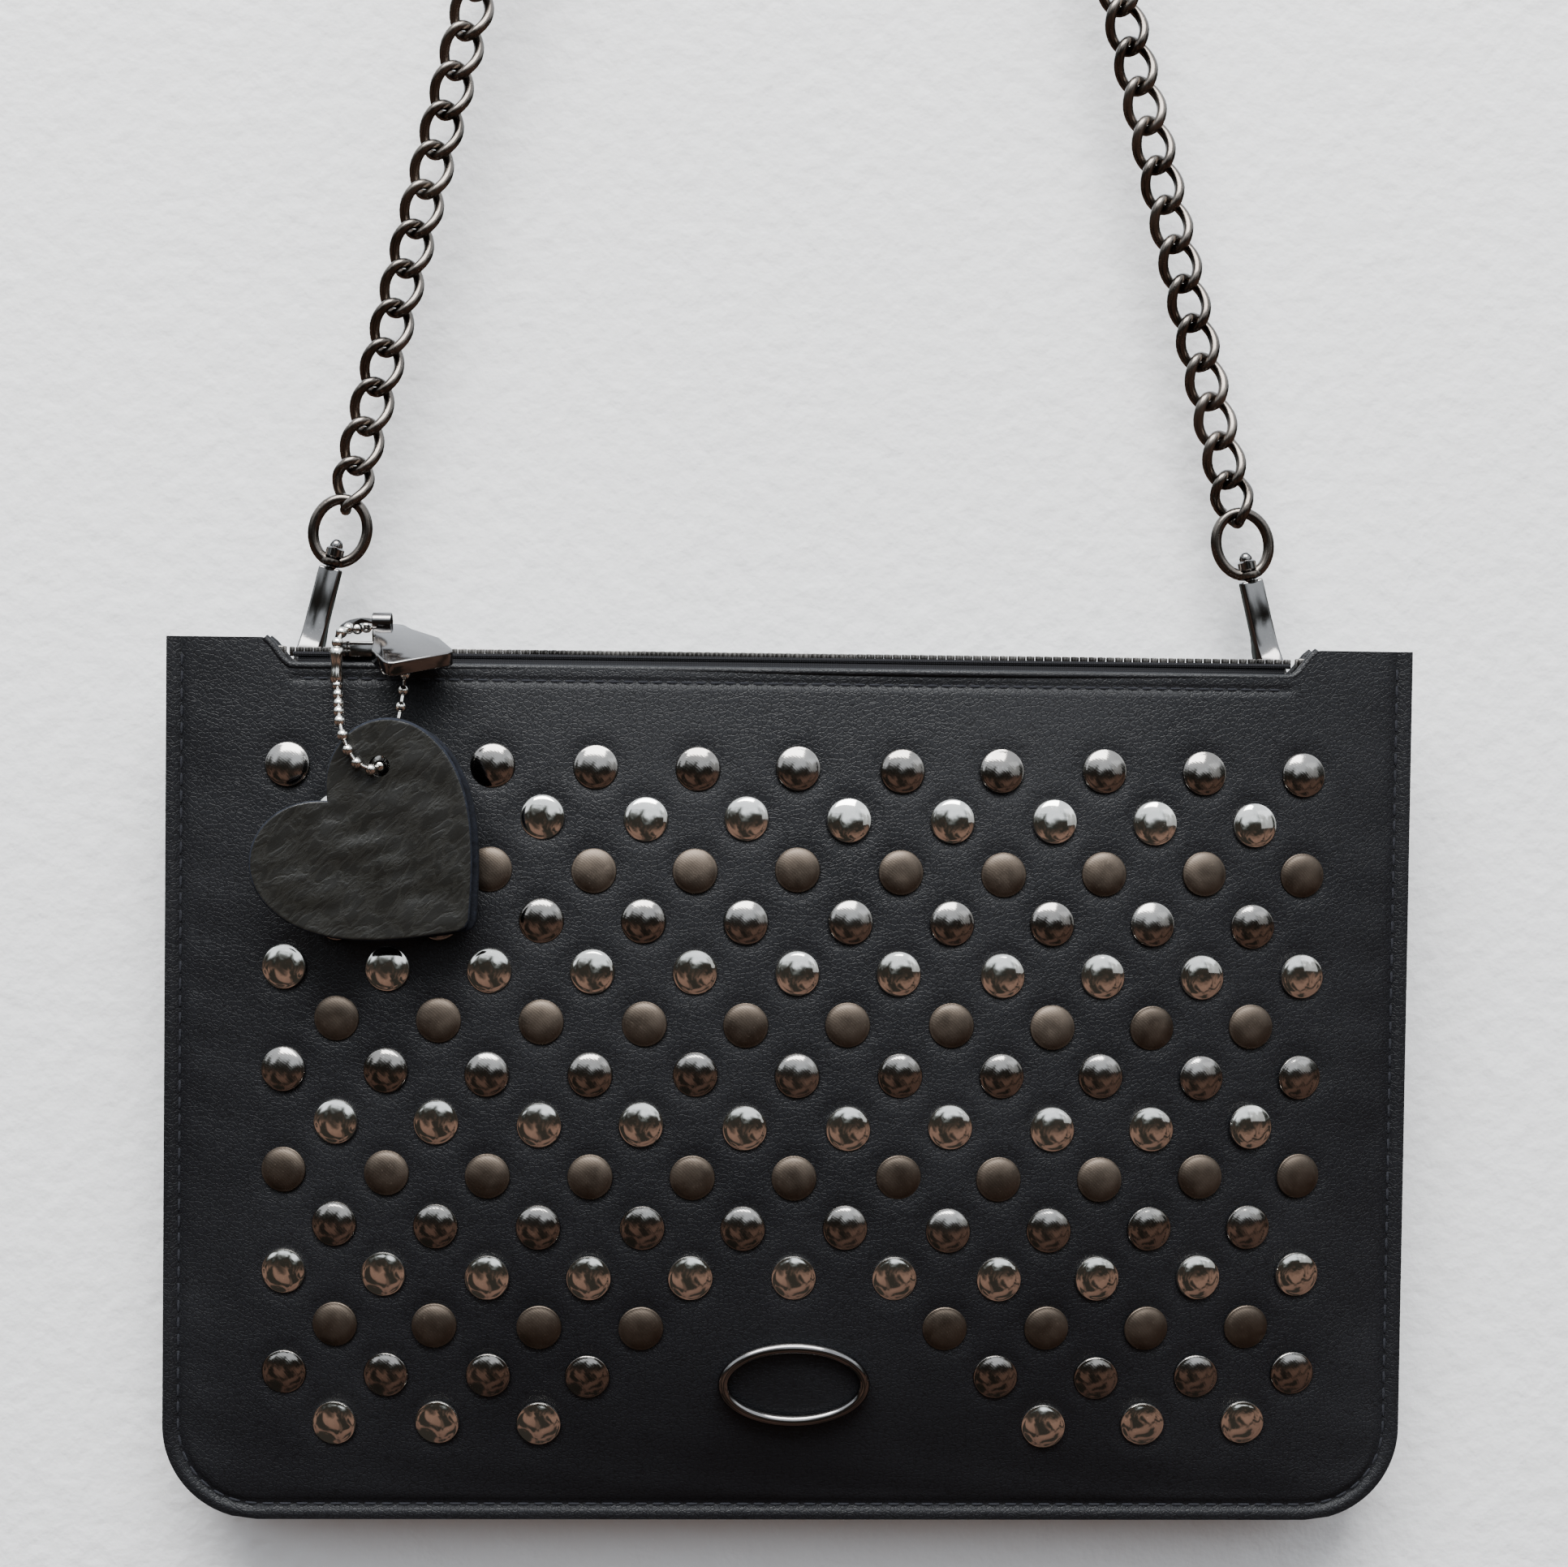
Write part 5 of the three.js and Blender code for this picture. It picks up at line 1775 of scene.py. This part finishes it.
class POUCH_OT_rings(bpy.types.Operator):
    """Build the D-rings and the leather tabs that hold them"""

    bl_idname = "pouch.rings"
    bl_label = "D-rings"

    def execute(self, context):
        ready(context)
        build_rings()
        return {"FINISHED"}


class POUCH_OT_charm(bpy.types.Operator):
    """Build the ball chain, its clasp and the leather heart"""

    bl_idname = "pouch.charm"
    bl_label = "Heart Charm"

    def execute(self, context):
        ready(context)
        build_ball_chain()
        build_charm()
        return {"FINISHED"}


class POUCH_OT_stage(bpy.types.Operator):
    """Build the wall, surroundings, lights and camera"""

    bl_idname = "pouch.stage"
    bl_label = "Stage"

    def execute(self, context):
        ready(context)
        build_stage(context.scene.pouch_stage)
        return {"FINISHED"}


OPERATORS = (
    POUCH_OT_chain, POUCH_OT_hooks, POUCH_OT_panels, POUCH_OT_seams, POUCH_OT_zip,
    POUCH_OT_slider, POUCH_OT_studs, POUCH_OT_emblem, POUCH_OT_rings, POUCH_OT_charm,
    POUCH_OT_stage,
)


class POUCH_PT_pieces(bpy.types.Panel):
    """Lists the pieces and their settings"""

    bl_label = "Studded Pouch"
    bl_idname = "POUCH_PT_pieces"
    bl_space_type = "VIEW_3D"
    bl_region_type = "UI"
    bl_category = "Pouch"

    def draw(self, context):
        layout = self.layout
        scene = context.scene
        for settings in (scene.pouch_colors, scene.pouch_detail, scene.pouch_stage):
            box = layout.box()
            for name in settings.__annotations__:
                box.prop(settings, name)
        column = layout.column(align=True)
        for operator in OPERATORS:
            column.operator(operator.bl_idname)


CLASSES = (PouchColors, PouchDetail, PouchStage) + OPERATORS + (POUCH_PT_pieces,)


def register():
    for made in CLASSES:
        bpy.utils.register_class(made)
    bpy.types.Scene.pouch_colors = PointerProperty(type=PouchColors)
    bpy.types.Scene.pouch_detail = PointerProperty(type=PouchDetail)
    bpy.types.Scene.pouch_stage = PointerProperty(type=PouchStage)


def unregister():
    del bpy.types.Scene.pouch_stage
    del bpy.types.Scene.pouch_detail
    del bpy.types.Scene.pouch_colors
    for made in reversed(CLASSES):
        bpy.utils.unregister_class(made)


def main():
    register()
    bpy.ops.pouch.stage()
    bpy.ops.pouch.chain()
    bpy.ops.pouch.hooks()
    bpy.ops.pouch.panels()
    bpy.ops.pouch.seams()
    bpy.ops.pouch.zip()
    bpy.ops.pouch.slider()
    bpy.ops.pouch.studs()
    bpy.ops.pouch.emblem()
    bpy.ops.pouch.rings()
    bpy.ops.pouch.charm()


if __name__ == "__main__":
    main()
